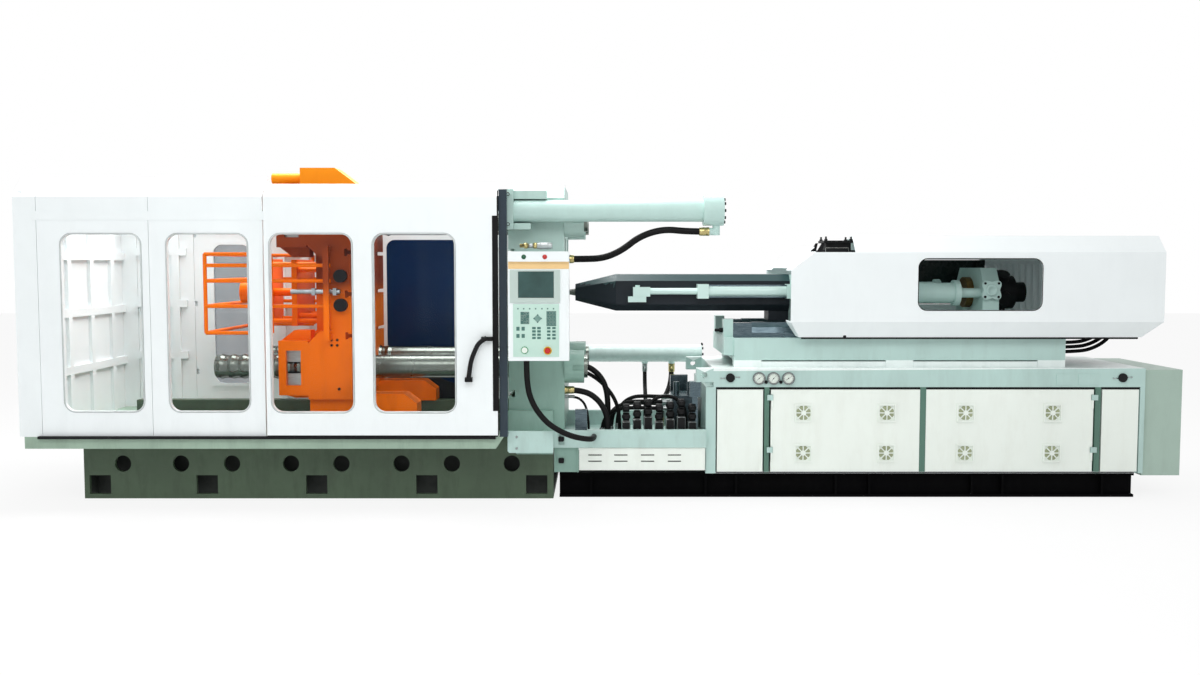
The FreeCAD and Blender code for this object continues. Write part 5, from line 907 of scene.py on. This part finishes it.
# front door: rubber closing edge, and a black strip along the leaf's foot, painted shade for the gap under
# the door
doorSettings = {"edge": (-0.811, -0.77), "edgeZ": (0.68, 2.018), "thinEdge": -0.778, "thinZ": (0.51, 2.19),
                "proud": 0.004, "deep": 0.003, "sweep": 0.01}


def dressDoor(given):
    low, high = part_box("front_door")
    front, proud, back = low[1], given["proud"], low[1] + given["deep"]
    left, right = given["edge"]
    (foot, top), (thinFoot, thinTop) = given["edgeZ"], given["thinZ"]
    blockPiece("doorRubber", ["hoseRubber"], [
        ((left, front - proud, foot), (right, back, top), 0.0018, 0, 2),
        ((given["thinEdge"], front - proud / 2, thinFoot), (right, back, thinTop), 0.001),
        # painted shade: black strip along the leaf's foot for the gap under the door
        ((low[0] + 0.002, front - 0.002, low[2] + 0.001),
         (high[0] - 0.004, front + 0.004, low[2] + given["sweep"]), 0.001),
    ], "front_door_slider")


dressDoor(doorSettings)
print("front door dressed")


# cover: rubber lip under the skirt, a latch, window seals, dark rear pane and the ribbed inner wall
unitSettings = {
    "lip": ((1.372, -0.509, 1.1505), (3.797, -0.497, 1.1645), 0.003),
    "latch": ((1.672, -0.5215, 1.158), (1.694, -0.5095, 1.184), 0.003),
    "seal": ((2.187, 3.062), (1.363, 1.725), 0.06, 0.006, -0.6, 0.002),   # window, radius, width, face, lift
    "rearPane": ((2.192, 0.5895, 1.366), (3.058, 0.5935, 1.722), 0.001),
    "sheet": ((3.075, 0.59, 1.3), (3.69, 0.594, 1.7), 0.001),
    "ribs": 12, "ribWidth": 0.6, "ribY": (0.576, 0.591), "ribZ": (1.31, 1.69), "ribBevel": 0.005,
}


def dressUnit(given):
    bm = bmesh.new()
    for part in ("lip", "latch"):
        addBlock(bm, *given[part])
    addFrame(bm, *given["seal"])
    finishPiece("coverRubber", bm, ["hoseRubber"], "carriage")
    blockPiece("rearCoverPane", ["paneDark"], [given["rearPane"]], "carriage")
    blocks = [given["sheet"]]
    start, end = (corner[0] for corner in given["sheet"][:2])
    step = (end - start) / given["ribs"]
    wide = step * given["ribWidth"]
    (nearY, farY), (lowZ, highZ) = given["ribY"], given["ribZ"]
    for number in range(given["ribs"]):
        left = start + step * number + (step - wide) / 2
        blocks.append(((left, nearY, lowZ), (left + wide, farY, highZ), given["ribBevel"]))
    blockPiece("ribbedLining", ["whiteCoat"], blocks, "carriage")


dressUnit(unitSettings)


# small steel and brass fittings over the control box, on the base frame and on the deck's plugs
fittingSettings = {
    "pipeX": -0.629, "pipeZ": 1.816, "pipeRadius": 0.024,
    "pipe": [   # start along the pipe, sides, slot, shape
        (0, 6, 0, [(0, 0), (0, 0.62), (0.03, 0.62), (0.03, 0.95), (0.052, 0.95), (0.052, 0.7), (0.06, 0.7),
                   (0.06, 0)]),
        (0.058, 24, 1, [(0, 0), (0, 0.66), (0.04, 0.66), (0.04, 0)]),
        (0.096, 6, 0, [(0, 0), (0, 0.98), (0.024, 0.98), (0.024, 0)]),
        (0.118, 24, 1, [(0, 0), (0, 0.9), (0.006, 1), (0.09, 1), (0.1, 0.86), (0.107, 0.86), (0.107, 0)]),
    ] + [(start, 24, 1, [(0, 1), (0, 1.12), (0.008, 1.12), (0.008, 1)]) for start in (0.14, 0.19)],
    "pin": (0.772, -0.29, 1.203), "pinRadius": 0.011,
    "pinShape": [(0, 0), (0, 0.8), (0.004, 1), (0.0341, 1), (0.0341, 1.6), (0.062, 1.6), (0.062, 0)],
    "plugX": (0.863, 3.686), "plugZ": 0.873, "plugRise": 0.004,
    "armReach": (0.036, 0.066), "armY": -0.529, "armRadius": (0.0035, 0.0028),
    "tipY": -0.5245, "tipShape": [(0, 0), (0, 0.006), (-0.008, 0.005), (-0.008, 0)],
}


def addFittings(given):
    r = given["pipeRadius"]
    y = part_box("fixed_platen")[0][1] - r
    bm = bmesh.new()
    for start, sides, slot, shape in given["pipe"]:
        addTurned(bm, "x", (given["pipeX"] + start, y, given["pipeZ"]), shape, sides, slot, r)
    finishPiece("platenUnion", bm, ["brass", "bareSteel"])
    bm = bmesh.new()
    addTurned(bm, "x", given["pin"], given["pinShape"], 16, 0, given["pinRadius"])
    finishPiece("basePin", bm, ["blackPlastic"])
    bm = bmesh.new()
    near, far = given["armReach"]
    foot, end = given["armRadius"]
    for x in given["plugX"]:
        for way in (-1, 1):
            z, long = given["plugZ"] + given["plugRise"] * way, way * (far - near)
            arm = [(0, 0), (0, foot), (long, end), (long, 0)]
            addTurned(bm, "x", (x + way * near, given["armY"], z), arm, 8)
            addTurned(bm, "y", (x + way * far, given["tipY"], z), given["tipShape"], 8)
    finishPiece("plugPins", bm, ["bareSteel"])


addFittings(fittingSettings)
print("doors, cover and fittings dressed")


# tray end panel with its latches, black strips at the louvre panel's joints as painted shadow lines, valves
# on the tray, platen foot pad
traySettings = {
    "endPanel": ((-0.405, -0.552, 0.1925), (-0.2275, -0.542, 0.372)), "fold": 0.012, "foldProud": 0.01,
    "latchX": -0.374, "latchZ": (0.418, 0.258), "latchSize": (0.04, 0.014, 0.038),
    # painted shadow: black strips along the louvre panel's top and bottom joints
    "shadowLines": [((-0.225, -0.5632, 0.37), (0.681, -0.551, 0.3765), 0.001),
              ((-0.225, -0.5632, 0.2015), (0.681, -0.551, 0.2075), 0.001)],
    "valves": 7, "valveX": 0.115, "valveStep": 0.08, "valveY": (-0.492, -0.418), "valveZ": (0.384, 0.548),
    "valveHalf": 0.03, "coilRadius": 0.031, "coils": (0.034, 0.098), "rise": 0.018,
    "footPad": [(-0.722, 0.381), (-0.71, 0.369), (-0.402, 0.369), (-0.402, 0.522), (-0.722, 0.522)],
    "footThick": 0.014, "footScrewX": -0.658, "footScrewZ": (0.482, 0.402), "footScrewSize": 0.009,
}


def dressTray(given):
    low, high = given["endPanel"]
    fold, overlap = given["fold"], 0.002
    blocks = [(low, high, 0.002)]
    front = low[1] - given["foldProud"]
    for x in (low[0], high[0] - fold):   # folded edges of the sheet
        blocks.append(((x, front, low[2]), (x + fold, low[1] + overlap, high[2]), 0.002))
    # painted shade: the panel lies below platenTeal's band, so it takes the darker shaded colour
    blockPiece("trayEndPanel", ["platenTeal"], blocks)
    blocks = []
    wide, deep, tall = given["latchSize"]
    x = given["latchX"]
    for face, z in zip((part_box("gap_beam")[0][1], low[1]), given["latchZ"]):
        front = face - deep
        blocks.append(((x, front, z), (x + wide, face + overlap, z + tall), 0.004, 0, 2))
        blocks.append(((x + wide * 0.3, front - 0.008, z + tall * 0.3),
                       (x + wide * 0.7, front + overlap, z + tall * 0.95), 0.003))
    blockPiece("trayLatches", ["blackPlastic"], blocks + given["shadowLines"])


def addValves(given):
    bm = bmesh.new()
    half, r = given["valveHalf"], given["coilRadius"]
    long = half * 2
    (nearY, farY), (lowZ, topZ) = given["valveY"], given["valveZ"]
    middle = (nearY + farY) / 2
    end = [(0, 0), (0, 0.4), (0.006, 0.5), (0.006, 0.92), (0.012, 1)]
    coil = end + [(long - along, share) for along, share in end[::-1]]
    for number in range(given["valves"]):
        x = given["valveX"] + given["valveStep"] * number
        top = topZ + given["rise"] * (number % 3)
        addBlock(bm, (x - half, nearY, lowZ), (x + half, farY, top), 0.004, 1)
        for level in given["coils"]:
            z = top + level
            addTurned(bm, "x", (x - half, middle, z), coil, 18, 0, r)
            addBlock(bm, (x - half * 0.5, middle - r - 0.012, z - 0.014),
                     (x + half * 0.5, middle - r * 0.7, z + 0.014), 0.003)
    finishPiece("trayValves", bm, ["blackPlastic", "bareSteel"])


def addFootPad(given):
    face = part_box("fixed_platen")[0][1]
    front = face - given["footThick"]
    bm = bmesh.new()
    addPlate(bm, given["footPad"], face + 0.002, front)
    for z in given["footScrewZ"]:
        addScrew(bm, "y", (given["footScrewX"], front, z), -1, given["footScrewSize"], 1)
    finishPiece("platenFootPad", bm, ["lightEnamel", "bareSteel"])


dressTray(traySettings)
addValves(traySettings)
addFootPad(traySettings)
print("tray dressed")


# thrust block: lobed bearing cap with four screws; moving platen: plugs and a screw on the lock housing
capSettings = {"centre": (2.797, 1.4985), "radius": 0.074, "lobe": 0.014, "lobes": 4, "steps": 64,
               "disc": [(0, 0.046), (-0.01, 0.043), (-0.01, 0.026), (-0.004, 0.024), (-0.004, 0)],
               "thick": 0.026, "screwAt": 0.07, "screwSize": 0.009}
platenSettings = {"plugX": (-1.985, -1.945), "plugZ": (1.15, 1.112), "plugRadius": 0.01,
                  "plugShape": [(0.001, 1), (-0.003, 0.9), (-0.003, 0.5), (-0.001, 0.45), (-0.001, 0)],
                  "loneScrew": (-1.935, 0.8), "screwSize": 0.01}


def dressThrustBlock(given):
    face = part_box("thrust_block")[0][1]
    front = face - given["thick"]
    centre = given["centre"]
    outline = []
    for step in range(given["steps"]):
        angle = 360 * step / given["steps"]
        out = given["radius"] - given["lobe"] * math.cos(math.radians(given["lobes"] * angle))
        outline.append(polar(centre, out, angle))
    bm = bmesh.new()
    addPlate(bm, outline, face + 0.002, front)
    addTurned(bm, "y", (centre[0], front, centre[1]), given["disc"], 28)
    for angle in range(45, 360, 90):
        x, z = polar(centre, given["screwAt"], angle)
        addScrew(bm, "y", (x, front, z), -1, given["screwSize"], 1)
    finishPiece("bearingCap", bm, ["lightEnamel", "blackPlastic"], "thrust")


def dressPlaten(given):
    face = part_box("lock_housings")[0][1]
    bm = bmesh.new()
    for z in given["plugZ"]:
        for x in given["plugX"]:
            addTurned(bm, "y", (x, face, z), given["plugShape"], 14, 0, given["plugRadius"])
    x, z = given["loneScrew"]
    addScrew(bm, "y", (x, face, z), -1, given["screwSize"])
    finishPiece("lockPlugs", bm, ["blackPlastic"], "platen")


dressThrustBlock(capSettings)
dressPlaten(platenSettings)
print("thrust block and lock housings dressed")
